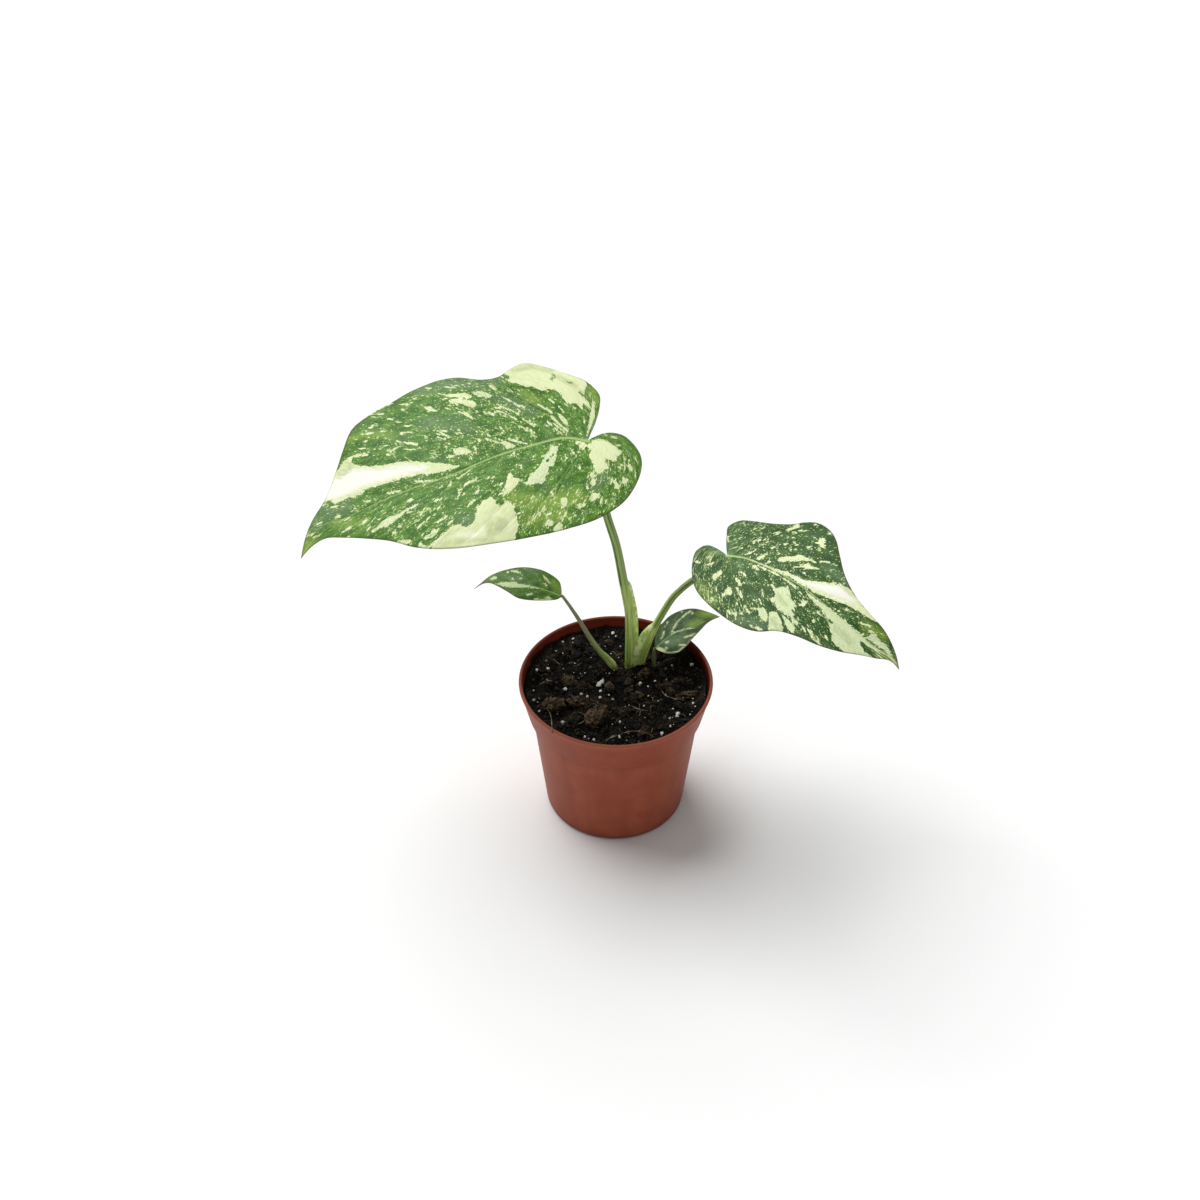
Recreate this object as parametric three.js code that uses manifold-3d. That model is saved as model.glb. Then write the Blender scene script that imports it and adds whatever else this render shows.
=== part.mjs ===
// Potted thai constellation monstera
// A young variegated plant: two large heart-shaped leaves and two small ones on
// their stalks, in potting mix, in a 4.5 inch round nursery pot.
// Millimetres, +Z up. The pot stands on Z = 0 and its axis is the Z axis.

import * as THREE from 'three';
import { mergeVertices } from 'three/addons/utils/BufferGeometryUtils.js';
import Module from 'manifold-3d';

const wasm = await Module();
wasm.setup();

// Clearance kept between neighbouring solids
const GAP = 0.35;

// Pot: thin moulded plastic, flared rim band over a tapered body
const POT_SIDES = 52;
const POT_HEIGHT = 94;
const RIM_RADIUS = 57;
const BAND_BOTTOM_Z = 71.5;
const BAND_BOTTOM_RADIUS = 52;
const BODY_TOP_RADIUS = 49.6;
const BASE_RADIUS = 42.5;
const BASE_EDGE = 2.5;
const POT_WALL = 1.4;
const POT_FLOOR = 1.8;
const LIP_THICKNESS = 2.2;
const BAND_STEP = 1.2;
const DRAIN_HOLES = 6;
const DRAIN_RADIUS = 3;
const DRAIN_CIRCLE = 27;

// Potting mix
const SOIL_SIDES = 40;
const SOIL_TOP_Z = 86;
const SOIL_RINGS = 7;
const BARK_COUNT = 20;
const PERLITE_COUNT = 10;
const SOIL_SEED = 41;

// Leaf blades
const BLADE_THICKNESS = 0.9;
const MIDRIB_DEPTH = 1.2;
const MIDRIB_STATIONS = 64;
const SPLINE_STEPS = 10;
const VEIN_BOW = 0.1;

// Repeatable random numbers between 0 and 1
function randomSource(seed) {
  let state = seed;
  return () => {
    state = (state * 16807) % 2147483647;
    return state / 2147483647;
  };
}

const radians = THREE.MathUtils.degToRad;

// Smooth curve through points of any dimension
function smoothCurve(points, steps) {
  const curve = [];
  const last = points.length - 1;
  for (let i = 0; i < last; i += 1) {
    const before = points[Math.max(i - 1, 0)];
    const from = points[i];
    const to = points[i + 1];
    const after = points[Math.min(i + 2, last)];
    for (let j = 0; j < steps; j += 1) {
      const t = j / steps;
      curve.push(from.map((value, k) => 0.5 * (2 * value
        + (to[k] - before[k]) * t
        + (2 * before[k] - 5 * value + 4 * to[k] - after[k]) * t * t
        + (3 * value - before[k] - 3 * to[k] + after[k]) * t * t * t)));
    }
  }
  curve.push(points[last].slice());
  return curve;
}

// Straight-line lookup in a table of rows [x, y], sorted by x
function lookup(x, table) {
  if (x <= table[0][0]) return table[0][1];
  for (let i = 1; i < table.length; i += 1) {
    if (x <= table[i][0]) {
      const f = (x - table[i - 1][0]) / (table[i][0] - table[i - 1][0]);
      return table[i - 1][1] + f * (table[i][1] - table[i - 1][1]);
    }
  }
  return table[table.length - 1][1];
}

// Closed skin over a row of rings, with a fan to a centre point at each end
function skin(rings, startCentre, endCentre) {
  const sides = rings[0].length;
  const positions = rings.flat().concat([startCentre, endCentre]).flatMap((p) => p.toArray());
  const start = rings.length * sides;
  const end = start + 1;
  const index = [];
  for (let j = 0; j < sides; j += 1) {
    const k = (j + 1) % sides;
    index.push(start, k, j);
    for (let i = 0; i < rings.length - 1; i += 1) {
      const a = i * sides;
      const b = a + sides;
      index.push(a + j, a + k, b + k, a + j, b + k, b + j);
    }
    const a = (rings.length - 1) * sides;
    index.push(end, a + j, a + k);
  }
  const geometry = new THREE.BufferGeometry();
  geometry.setAttribute('position', new THREE.Float32BufferAttribute(positions, 3));
  geometry.setIndex(index);
  return geometry;
}

// Turned solid from a profile of [radius, z] that starts and ends on the axis
function turned(profile, sides) {
  const rings = profile.slice(1, -1).map(([radius, z]) => {
    const ring = [];
    for (let j = 0; j < sides; j += 1) {
      const angle = (2 * Math.PI * j) / sides;
      ring.push(new THREE.Vector3(radius * Math.cos(angle), radius * Math.sin(angle), z));
    }
    return ring;
  });
  const first = profile[0];
  const last = profile[profile.length - 1];
  return skin(rings, new THREE.Vector3(0, 0, first[1]), new THREE.Vector3(0, 0, last[1]));
}

// Solids for adding and subtracting
function solidOf(geometry) {
  const bare = new THREE.BufferGeometry();
  bare.setAttribute('position', geometry.getAttribute('position').clone());
  if (geometry.index) bare.setIndex(geometry.index.clone());
  const merged = mergeVertices(bare, 1e-4);
  return new wasm.Manifold(new wasm.Mesh({
    numProp: 3,
    vertProperties: new Float32Array(merged.getAttribute('position').array),
    triVerts: new Uint32Array(merged.index.array),
  }));
}

function geometryOf(solid) {
  const mesh = solid.getMesh();
  const geometry = new THREE.BufferGeometry();
  geometry.setAttribute('position', new THREE.BufferAttribute(mesh.vertProperties, 3));
  geometry.setIndex(new THREE.BufferAttribute(mesh.triVerts, 1));
  return geometry;
}

// Leaf form: the flat blade (along, across) is bent into its hanging pose.
// along runs from the stalk to the tip, across is positive to the left of it.
class LeafForm {
  constructor(pose) {
    Object.assign(this, pose);
    const turn = radians(this.heading);
    this.ahead = new THREE.Vector3(Math.cos(turn), Math.sin(turn), 0);
    this.aside = new THREE.Vector3(-Math.sin(turn), Math.cos(turn), 0);
    this.stations = [new THREE.Vector3(...this.base)];
    for (let i = 0; i < MIDRIB_STATIONS; i += 1) {
      const along = this.direction((i + 0.5) / MIDRIB_STATIONS);
      const here = this.stations[i].clone();
      this.stations.push(here.addScaledVector(along, this.length / MIDRIB_STATIONS));
    }
    this.midribCurve = smoothCurve(this.midrib, SPLINE_STEPS);
  }

  dip(u) {
    return radians(this.dipStart + (this.dipEnd - this.dipStart) * Math.max(u, 0) ** 1.3);
  }

  direction(u) {
    const dip = this.dip(u);
    const along = this.ahead.clone().multiplyScalar(Math.cos(dip));
    along.z = -Math.sin(dip);
    return along;
  }

  // Point of the blade's middle surface
  point(along, across) {
    const u = THREE.MathUtils.clamp(along / this.length, 0, 1);
    const step = Math.min(Math.floor(u * MIDRIB_STATIONS), MIDRIB_STATIONS - 1);
    const dip = this.dip(u);
    const roll = radians(this.roll);
    const flatNormal = this.ahead.clone().multiplyScalar(Math.sin(dip));
    flatNormal.z = Math.cos(dip);
    const side = this.aside.clone().multiplyScalar(Math.cos(roll));
    side.addScaledVector(flatNormal, Math.sin(roll));
    const up = flatNormal.multiplyScalar(Math.cos(roll)).addScaledVector(this.aside, -Math.sin(roll));
    const place = this.stations[step].clone();
    place.lerp(this.stations[step + 1], u * MIDRIB_STATIONS - step);
    place.addScaledVector(this.direction(u), along - u * this.length);
    const rib = lookup(along, this.midribCurve);
    const reach = Math.abs(across - rib);
    const left = across >= rib;
    const bend = radians(left ? this.droopLeft : this.droopRight) / this.halfWidth;
    const rise = radians(this.fold);
    const out = (Math.sin(rise) - Math.sin(rise - bend * reach)) / bend;
    let lift = (Math.cos(rise - bend * reach) - Math.cos(rise)) / bend;
    const wave = left ? this.waveLeft : this.waveRight;
    const phase = 2 * Math.PI * ((wave.cycles * along) / this.length + wave.phase);
    lift += wave.height * Math.sin(phase) * (reach / this.halfWidth) ** 2;
    lift -= this.lobeDrop * (Math.max(-along, 0) / 20) ** 2;
    place.addScaledVector(side, rib + (left ? out : -out));
    return place.addScaledVector(up, lift);
  }

  normal(along, across) {
    const step = 0.5;
    const a = this.point(along + step, across).sub(this.point(along - step, across));
    const b = this.point(along, across + step).sub(this.point(along, across - step));
    return a.cross(b).normalize();
  }

  // Flat net of one half: each row follows a side vein from the midrib to the margin
  net(margin, veinStart) {
    const edge = smoothCurve(margin, SPLINE_STEPS);
    const walked = [0];
    for (let i = 1; i < edge.length; i += 1) {
      const step = Math.hypot(edge[i][0] - edge[i - 1][0], edge[i][1] - edge[i - 1][1]);
      walked.push(walked[i - 1] + step);
    }
    const total = walked[walked.length - 1];
    const alongTable = walked.map((w, i) => [w / total, edge[i][0]]);
    const acrossTable = walked.map((w, i) => [w / total, edge[i][1]]);
    const rows = [];
    for (let i = 0; i <= this.lobeRows + this.bladeRows; i += 1) {
      const x = Math.max(i - this.lobeRows, 0) / this.bladeRows;
      const s = i < this.lobeRows ? (veinStart * i) / this.lobeRows : veinStart + (1 - veinStart) * x;
      const root = [this.length * x, lookup(this.length * x, this.midribCurve)];
      const rim = [lookup(s, alongTable), lookup(s, acrossTable)];
      const bow = VEIN_BOW * Math.min(1, 6 * x) * Math.abs(rim[1] - root[1]);
      rows.push(this.columns.map((t) => [
        root[0] + (rim[0] - root[0]) * t - bow * 4 * t * (1 - t),
        root[1] + (rim[1] - root[1]) * t,
      ]));
    }
    return rows;
  }

  // Closed blade: both faces share one net, cut into triangles alike
  blade() {
    const top = [];
    const bottom = [];
    const known = new Map();
    const triangles = [];
    const vertex = ([along, across], t) => {
      const key = `${along.toFixed(3)},${across.toFixed(3)}`;
      if (!known.has(key)) {
        const middle = this.point(along, across);
        const normal = this.normal(along, across);
        const taper = 1 - (0.85 * Math.max(along, 0)) / this.length;
        const rib = t === 0 ? this.ribDepth * taper : 0;
        known.set(key, top.length);
        top.push(middle.clone().addScaledVector(normal, BLADE_THICKNESS / 2));
        bottom.push(middle.clone().addScaledVector(normal, -BLADE_THICKNESS / 2 - rib));
      }
      return known.get(key);
    };
    const triangle = (a, b, c) => {
      if (a !== b && b !== c && c !== a) triangles.push([a, b, c]);
    };
    const halves = [[this.net(this.leftMargin, this.leftVeinStart), true],
      [this.net(this.rightMargin, this.rightVeinStart), false]];
    for (const [rows, left] of halves) {
      const id = rows.map((row) => row.map((flat, k) => vertex(flat, this.columns[k])));
      for (let i = 0; i < id.length - 1; i += 1) {
        for (let j = 0; j < this.columns.length - 1; j += 1) {
          const corners = [id[i][j], id[i + 1][j], id[i + 1][j + 1], id[i][j + 1]];
          if (!left) corners.reverse();
          triangle(corners[0], corners[1], corners[2]);
          triangle(corners[0], corners[2], corners[3]);
        }
      }
    }
    const edges = new Set(triangles.flatMap(([a, b, c]) => [`${a} ${b}`, `${b} ${c}`, `${c} ${a}`]));
    const count = top.length;
    const index = [];
    for (const [a, b, c] of triangles) {
      index.push(a, b, c, a + count, c + count, b + count);
      for (const [from, to] of [[a, b], [b, c], [c, a]]) {
        if (!edges.has(`${to} ${from}`)) {
          index.push(from, from + count, to + count, from, to + count, to);
        }
      }
    }
    const geometry = new THREE.BufferGeometry();
    const positions = top.concat(bottom).flatMap((p) => p.toArray());
    geometry.setAttribute('position', new THREE.Float32BufferAttribute(positions, 3));
    geometry.setIndex(index);
    return geometry;
  }

  // Where the stalk meets the blade from below, and which way its end faces
  underside() {
    const normal = this.normal(1, lookup(1, this.midribCurve));
    const depth = BLADE_THICKNESS / 2 + this.ribDepth + GAP;
    return { place: this.point(1, 0).addScaledVector(normal, -depth), facing: normal };
  }

  // Where the stalk of a small leaf runs straight on into the blade
  baseEnd() {
    const facing = this.direction(0);
    const place = this.point(0, 0).addScaledVector(facing, -GAP);
    return { place, facing };
  }
}

// Large leaf, reaching left of the pot and hanging towards its tip
const largeLeft = new LeafForm({
  base: [-16, 30, 240],
  heading: 198,
  length: 170,
  dipStart: -4,
  dipEnd: 39,
  roll: -14,
  fold: 5,
  droopLeft: 20,
  droopRight: 8,
  halfWidth: 60,
  lobeDrop: 2,
  waveLeft: { height: 1.8, cycles: 2.2, phase: 0.1 },
  waveRight: { height: 2.2, cycles: 2.6, phase: 0.55 },
  ribDepth: MIDRIB_DEPTH,
  lobeRows: 14,
  bladeRows: 34,
  columns: [0, 0.04, 0.2, 0.4, 0.6, 0.8, 1],
  leftVeinStart: 0.43,
  rightVeinStart: 0.39,
  midrib: [[-5, 0], [0, 0], [12, -4], [30, -2.5], [50, -0.5], [75, 3], [100, 1.5], [125, -1],
    [147, -4], [160, -4], [170, 0]],
  leftMargin: [[0, 0], [-10, -4], [-18, -4], [-24, 0], [-27, 12], [-23, 25], [-13, 39], [-2, 48],
    [12, 53.5], [28, 55], [48, 54], [68, 53], [84, 50.5], [98, 45], [110, 37], [121, 26],
    [132, 17], [143, 8], [152, 1], [161, -1], [170, 0]],
  rightMargin: [[0, 0], [-8, -12], [-14, -24], [-16, -33], [-11, -43], [-3, -50], [7, -59],
    [17, -65], [26, -61], [35, -54.5], [45, -54.5], [56, -61], [68, -65.5], [80, -65.5],
    [93, -60], [107, -55.5], [116, -52], [124, -43], [132, -33], [143, -21.5], [155, -14.5],
    [163, -8], [170, 0]],
});

// Second leaf, reaching right and forward
const largeRight = new LeafForm({
  base: [62, 15, 173],
  heading: -38,
  length: 118,
  dipStart: -7,
  dipEnd: 36,
  roll: 12,
  fold: 6,
  droopLeft: 12,
  droopRight: 18,
  halfWidth: 45,
  lobeDrop: 2,
  waveLeft: { height: 1.8, cycles: 2, phase: 0.3 },
  waveRight: { height: 1.2, cycles: 1.6, phase: 0 },
  ribDepth: MIDRIB_DEPTH,
  lobeRows: 12,
  bladeRows: 28,
  columns: [0, 0.05, 0.25, 0.5, 0.75, 1],
  leftVeinStart: 0.38,
  rightVeinStart: 0.42,
  midrib: [[-5, 0], [0, 0], [12, 2.5], [35, 2], [56, 0], [75, -2.5], [92, -3], [106, 0], [112, 1.5],
    [118, 0]],
  leftMargin: [[0, 0], [-5, 7], [-9, 13.5], [-12, 20], [-8, 26], [0, 28.5], [10, 31.5],
    [19, 36.5], [24, 42], [30, 46], [38, 44.5], [46, 39], [54, 30], [63, 21], [74, 14.5],
    [85, 11.5], [98, 9.5], [110, 5], [118, 0]],
  rightMargin: [[0, 0], [-10, 3], [-17, 3], [-20, -2], [-17, -10], [-10, -21], [-1, -30],
    [10, -35.5], [22, -39], [34, -40], [45, -37.5], [55, -31], [66, -27.5], [78, -24.5],
    [89, -19], [98, -12], [105, -6.5], [111, -1], [118, 0]],
});

// Small leaf on the left, without lobes
const smallLeft = new LeafForm({
  base: [-32, 30, 131],
  heading: 168,
  length: 56,
  dipStart: -23,
  dipEnd: 38,
  roll: -6,
  fold: 8,
  droopLeft: 15,
  droopRight: 15,
  halfWidth: 14,
  lobeDrop: 0,
  waveLeft: { height: 0.6, cycles: 1.5, phase: 0.2 },
  waveRight: { height: 0.6, cycles: 1.5, phase: 0.6 },
  ribDepth: 0.5 * MIDRIB_DEPTH,
  lobeRows: 3,
  bladeRows: 20,
  columns: [0, 0.08, 0.4, 0.7, 1],
  leftVeinStart: 0.12,
  rightVeinStart: 0.14,
  midrib: [[-2, 0], [0, 0], [14, 0.5], [28, 1], [40, -1], [49, -2.5], [56, 0]],
  leftMargin: [[0, 0], [2, 4], [8, 8.5], [16, 11.5], [24, 12], [31, 8.5], [38, 4], [44, 0],
    [50, -1.5], [56, 0]],
  rightMargin: [[0, 0], [1.5, -5], [5, -11], [13, -14], [22, -13.5], [31, -12], [39, -9.5],
    [46, -6.5], [51, -3], [56, 0]],
});

// Small leaf on the right, low behind the second stalk
const smallRight = new LeafForm({
  base: [24, 23, 96.5],
  heading: 25,
  length: 45,
  dipStart: -30,
  dipEnd: 10,
  roll: -2,
  fold: 8,
  droopLeft: 15,
  droopRight: 15,
  halfWidth: 16,
  lobeDrop: 0,
  waveLeft: { height: 0.6, cycles: 1.5, phase: 0.2 },
  waveRight: { height: 0.6, cycles: 1.5, phase: 0.7 },
  ribDepth: 0.5 * MIDRIB_DEPTH,
  lobeRows: 3,
  bladeRows: 20,
  columns: [0, 0.08, 0.4, 0.7, 1],
  leftVeinStart: 0.18,
  rightVeinStart: 0.2,
  midrib: [[-2, 0], [0, 0], [10, 1.5], [18, 1], [27, -1.5], [36, -1], [45, 0]],
  leftMargin: [[0, 0], [2.5, 5.5], [7, 10.5], [13, 14], [20, 16.5], [28, 15], [35, 11.5], [40, 6],
    [45, 0]],
  rightMargin: [[0, 0], [1, -4], [4, -9.5], [9, -13.5], [15, -13.5], [21, -10.5], [28, -7],
    [36, -2.5], [45, 0]],
});

// Stalk: rings [x, y, z, radius, sheath] along its path. The sheath is how far the
// folded sheath stands out on the side that sheathSide points to.
function stalk({ path, sheathSide, seat, sides, steps }, grow) {
  const rows = path.slice();
  const end = seat.place;
  const before = end.clone().addScaledVector(seat.facing, -seat.run);
  rows.push([before.x, before.y, before.z, seat.radius, 0]);
  rows.push([end.x, end.y, end.z, seat.radius, 0]);
  const curve = smoothCurve(rows, steps);
  const centres = curve.map(([x, y, z]) => new THREE.Vector3(x, y, z));
  centres[0].z -= grow;
  const last = centres.length - 1;
  const sheathTo = new THREE.Vector3(...sheathSide);
  const rings = curve.map((row, i) => {
    const along = i === last ? seat.facing.clone()
      : centres[Math.min(i + 1, last)].clone().sub(centres[Math.max(i - 1, 0)]).normalize();
    const first = sheathTo.clone().addScaledVector(along, -sheathTo.dot(along)).normalize();
    const second = along.clone().cross(first);
    const ring = [];
    for (let j = 0; j < sides; j += 1) {
      const angle = (2 * Math.PI * j) / sides;
      const sheath = Math.max(row[4], 0) * Math.max(Math.cos(angle), 0) ** 2;
      const radius = row[3] + sheath + grow;
      ring.push(centres[i].clone()
        .addScaledVector(first, radius * Math.cos(angle))
        .addScaledVector(second, radius * Math.sin(angle)));
    }
    return ring;
  });
  return skin(rings, centres[0], centres[last]);
}

const stalkLargeLeft = {
  path: [[9, 22, 74, 3, 0], [9, 22, 86, 3.4, 0.4], [8.8, 22.1, 96, 3.3, 1.2],
    [8.6, 22.3, 108, 3.1, 2.4], [8.1, 22.8, 123, 2.9, 2.6], [6.4, 23.3, 135, 2.8, 2.3],
    [4.6, 23.7, 145, 2.7, 1.5], [3.9, 23.9, 149, 2.7, 0], [0, 25, 172, 2.5, 0],
    [-5.3, 26.2, 192, 2.4, 0], [-10.6, 28, 216, 2.2, 0]],
  sheathSide: [1, -0.25, 0],
  seat: { ...largeLeft.underside(), run: 7, radius: 2.2 },
  sides: 12,
  steps: 2,
};

const stalkLargeRight = {
  path: [[15, 22, 74, 2.4, 0], [15.2, 22, 86, 2.6, 0.8], [17, 21.7, 95, 2.5, 4],
    [18.9, 21.5, 102, 2.4, 5.6], [20.8, 21.1, 109, 2.3, 5], [22.8, 20.8, 115, 2.2, 2.8],
    [24.5, 20.5, 119.8, 2.1, 0], [31.4, 19.5, 136.4, 2, 0], [36.6, 19, 144.6, 1.9, 0],
    [43.4, 18.1, 152.6, 1.9, 0], [51.5, 16.8, 159.8, 1.9, 0]],
  sheathSide: [-0.9, -0.3, 0.3],
  seat: { ...largeRight.underside(), run: 6, radius: 1.9 },
  sides: 12,
  steps: 2,
};

const stalkSmallLeft = {
  path: [[1.6, 17.4, 79, 1.5, 0], [-2.6, 18.2, 87, 1.6, 2.6], [-6, 18.9, 92.4, 1.6, 2.2],
    [-10, 19.8, 97.8, 1.6, 0.3], [-16.1, 22, 107.7, 1.5, 0], [-22.2, 25, 118.5, 1.2, 0]],
  sheathSide: [1, 0, 0.4],
  seat: { ...smallLeft.baseEnd(), run: 4, radius: 0.9 },
  sides: 10,
  steps: 3,
};

const stalkSmallRight = {
  path: [[23, 18.5, 78, 1.1, 0], [23, 19, 86, 1.1, 0], [23, 20, 91, 1, 0]],
  sheathSide: [1, 0, 0],
  seat: { ...smallRight.baseEnd(), run: 2, radius: 0.9 },
  sides: 8,
  steps: 3,
};

// Crown: the short buried stem that the two large stalks rise from
const CROWN = { x: 12, y: 22, bottom: 72, top: 91, halfWidth: 7.4, halfDepth: 4.6 };

function crown(grow) {
  const middle = (CROWN.bottom + CROWN.top) / 2;
  const halfHeight = (CROWN.top - CROWN.bottom) / 2;
  const ball = new THREE.IcosahedronGeometry(1, 2);
  ball.scale(CROWN.halfWidth + grow, CROWN.halfDepth + grow, halfHeight + grow);
  ball.translate(CROWN.x, CROWN.y, middle);
  return ball;
}

// Pot, turned in one profile from the underside over the rim to the inner floor
function potProfile() {
  const lipOuter = RIM_RADIUS - 0.6;
  const lipInner = RIM_RADIUS - LIP_THICKNESS;
  const edge = [0.3, 0.7].map((f) => [
    BASE_RADIUS - BASE_EDGE * (1 - Math.sin((f * Math.PI) / 2)),
    BASE_EDGE * (1 - Math.cos((f * Math.PI) / 2)),
  ]);
  return [[0, 0], [BASE_RADIUS - BASE_EDGE, 0], ...edge, [BASE_RADIUS, BASE_EDGE],
    [BODY_TOP_RADIUS, BAND_BOTTOM_Z - BAND_STEP], [BAND_BOTTOM_RADIUS - 0.5, BAND_BOTTOM_Z - 0.3],
    [BAND_BOTTOM_RADIUS, BAND_BOTTOM_Z + 0.4], [lipOuter, POT_HEIGHT - 2],
    [RIM_RADIUS, POT_HEIGHT - 1.3], [RIM_RADIUS - 0.4, POT_HEIGHT - 0.3], [RIM_RADIUS - 1.1, POT_HEIGHT],
    [lipInner + 0.2, POT_HEIGHT - 0.4], [lipInner, POT_HEIGHT - 1.4],
    ...innerWall(0).reverse(), [0, POT_FLOOR]];
}

// Inner wall of the pot from the floor up, moved inwards by a clearance
function innerWall(inset) {
  const shift = POT_WALL + inset;
  return [
    [BASE_RADIUS - shift - 2, POT_FLOOR + inset],
    [BASE_RADIUS - shift + 0.2, POT_FLOOR + 2.4 + inset],
    [BODY_TOP_RADIUS - shift, BAND_BOTTOM_Z - BAND_STEP + 1 + inset],
    [BAND_BOTTOM_RADIUS - shift, BAND_BOTTOM_Z + 1 + inset],
    [lookup(POT_HEIGHT - 3, [[BAND_BOTTOM_Z, BAND_BOTTOM_RADIUS], [POT_HEIGHT, RIM_RADIUS]]) - shift,
      POT_HEIGHT - 3],
  ];
}

function potSolid() {
  let pot = solidOf(turned(potProfile(), POT_SIDES));
  for (let i = 0; i < DRAIN_HOLES; i += 1) {
    const angle = ((i + 0.5) * 2 * Math.PI) / DRAIN_HOLES;
    const drill = new THREE.CylinderGeometry(DRAIN_RADIUS, DRAIN_RADIUS, 4 * POT_FLOOR, 20);
    drill.rotateX(Math.PI / 2);
    drill.translate(DRAIN_CIRCLE * Math.cos(angle), DRAIN_CIRCLE * Math.sin(angle), 0);
    pot = pot.subtract(solidOf(drill));
  }
  return pot;
}

// Height of the potting mix: gentle lumps, lower in front of the crown
function soilHeight(x, y) {
  const lumps = 0.9 * Math.sin(0.19 * x + 0.8) * Math.cos(0.16 * y - 0.4)
    + 0.7 * Math.sin(0.33 * x - 0.27 * y + 2.1) + 0.5 * Math.cos(0.41 * x + 0.37 * y);
  const hollow = 3.2 * Math.exp(-((x - 3) ** 2 + (y - 2) ** 2) / 90);
  return SOIL_TOP_Z + lumps - hollow;
}

function soilBody() {
  const wall = innerWall(GAP);
  const below = wall[wall.length - 2];
  const above = wall[wall.length - 1];
  const edgeRadius = lookup(SOIL_TOP_Z, [[below[1], below[0]], [above[1], above[0]]]);
  const rings = wall.slice(0, -1).map(([radius, z]) => circle(radius, () => z));
  for (let i = SOIL_RINGS; i > 0; i -= 1) {
    const radius = i === SOIL_RINGS ? edgeRadius - 0.8 : (edgeRadius * i) / SOIL_RINGS;
    rings.push(circle(radius, soilHeight));
  }
  const floor = new THREE.Vector3(0, 0, POT_FLOOR + GAP);
  return skin(rings, floor, new THREE.Vector3(0, 0, soilHeight(0, 0)));
}

function circle(radius, height) {
  const ring = [];
  for (let j = 0; j < SOIL_SIDES; j += 1) {
    const angle = (2 * Math.PI * j) / SOIL_SIDES;
    const x = radius * Math.cos(angle);
    const y = radius * Math.sin(angle);
    ring.push(new THREE.Vector3(x, y, height(x, y)));
  }
  return ring;
}

// Bark pieces that stand out most: [x, y, length, width, height, turn]
const BIG_BARK = [
  [-36, -15, 13, 10, 8, 20],
  [-21, -12, 13, 8, 6, -10],
  [-11, -25, 15, 12, 10, 35],
  [-28, 5, 13, 8, 6, -20],
  [42, -6, 19, 6, 5, 8],
  [16, 11, 10, 7, 7, 70],
  [5, -20, 9, 7, 5, 40],
  [-25, -30, 9, 6, 5, 15],
];
const STEM_SPOTS = [[9, 22, 9], [15, 22, 9], [-3, 18, 7], [23, 19, 5]];

function barkPiece(x, y, size, turn, random) {
  const piece = new THREE.BoxGeometry(1, 1, 1);
  const bare = new THREE.BufferGeometry();
  bare.setAttribute('position', piece.getAttribute('position'));
  bare.setIndex(piece.index);
  const block = mergeVertices(bare, 1e-4);
  const position = block.getAttribute('position');
  for (let i = 0; i < position.count; i += 1) {
    position.setXYZ(i, position.getX(i) * (0.7 + 0.5 * random()),
      position.getY(i) * (0.7 + 0.5 * random()), position.getZ(i) * (0.75 + 0.4 * random()));
  }
  block.scale(size[0], size[1], size[2]);
  block.rotateX(0.5 * (random() - 0.5));
  block.rotateZ(radians(turn));
  block.translate(x, y, soilHeight(x, y) + 0.1 * size[2]);
  return block;
}

function soilSolid() {
  const random = randomSource(SOIL_SEED);
  let soil = solidOf(soilBody());
  const places = [];
  const clear = (x, y, margin) => Math.hypot(x, y) < 49 - margin
    && STEM_SPOTS.every(([sx, sy, sr]) => Math.hypot(x - sx, y - sy) > sr + margin)
    && places.every(([px, py, pr]) => Math.hypot(x - px, y - py) > pr + 0.6 * margin);
  for (const [x, y, length, width, height, turn] of BIG_BARK) {
    soil = soil.add(solidOf(barkPiece(x, y, [length, width, height], turn, random)));
    places.push([x, y, 0.4 * length]);
  }
  while (places.length < BARK_COUNT) {
    const x = 96 * (random() - 0.5);
    const y = 96 * (random() - 0.5);
    const length = 6 + 5 * random();
    const turn = 180 * random();
    if (clear(x, y, 0.5 * length)) {
      soil = soil.add(solidOf(barkPiece(x, y, [length, 0.7 * length, 0.55 * length], turn, random)));
      places.push([x, y, 0.4 * length]);
    }
  }
  while (places.length < BARK_COUNT + PERLITE_COUNT) {
    const x = 94 * (random() - 0.5);
    const y = 94 * (random() - 0.5);
    const radius = 1.2 + 0.8 * random();
    if (clear(x, y, radius)) {
      const bead = new THREE.IcosahedronGeometry(radius, 0);
      bead.translate(x, y, soilHeight(x, y) + 0.3 * radius);
      soil = soil.add(solidOf(bead));
      places.push([x, y, radius]);
    }
  }
  const stems = [stalkLargeLeft, stalkLargeRight, stalkSmallLeft, stalkSmallRight];
  for (const stem of stems) soil = soil.subtract(solidOf(stalk(stem, GAP)));
  return soil.subtract(solidOf(crown(GAP)));
}

// Colours and finishes
const finish = (color, roughness) => new THREE.MeshStandardMaterial({ color, roughness, metalness: 0 });
const terracottaPlastic = finish(0x9c4a34, 0.45);
const pottingMix = finish(0x241a14, 0.95);
const stalkGreen = finish(0x8fae5a, 0.5);
const leafGreen = finish(0x6f9f4c, 0.45);
const darkLeafGreen = finish(0x567f44, 0.45);

// Assembly
const group = new THREE.Group();
group.name = 'potted_thai_constellation_monstera';

function addNode(name, geometry, material) {
  const mesh = new THREE.Mesh(geometry, material);
  mesh.name = name;
  group.add(mesh);
}

const stemSolid = solidOf(stalk(stalkLargeLeft, 0))
  .add(solidOf(stalk(stalkLargeRight, 0)))
  .add(solidOf(crown(0)));

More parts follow.
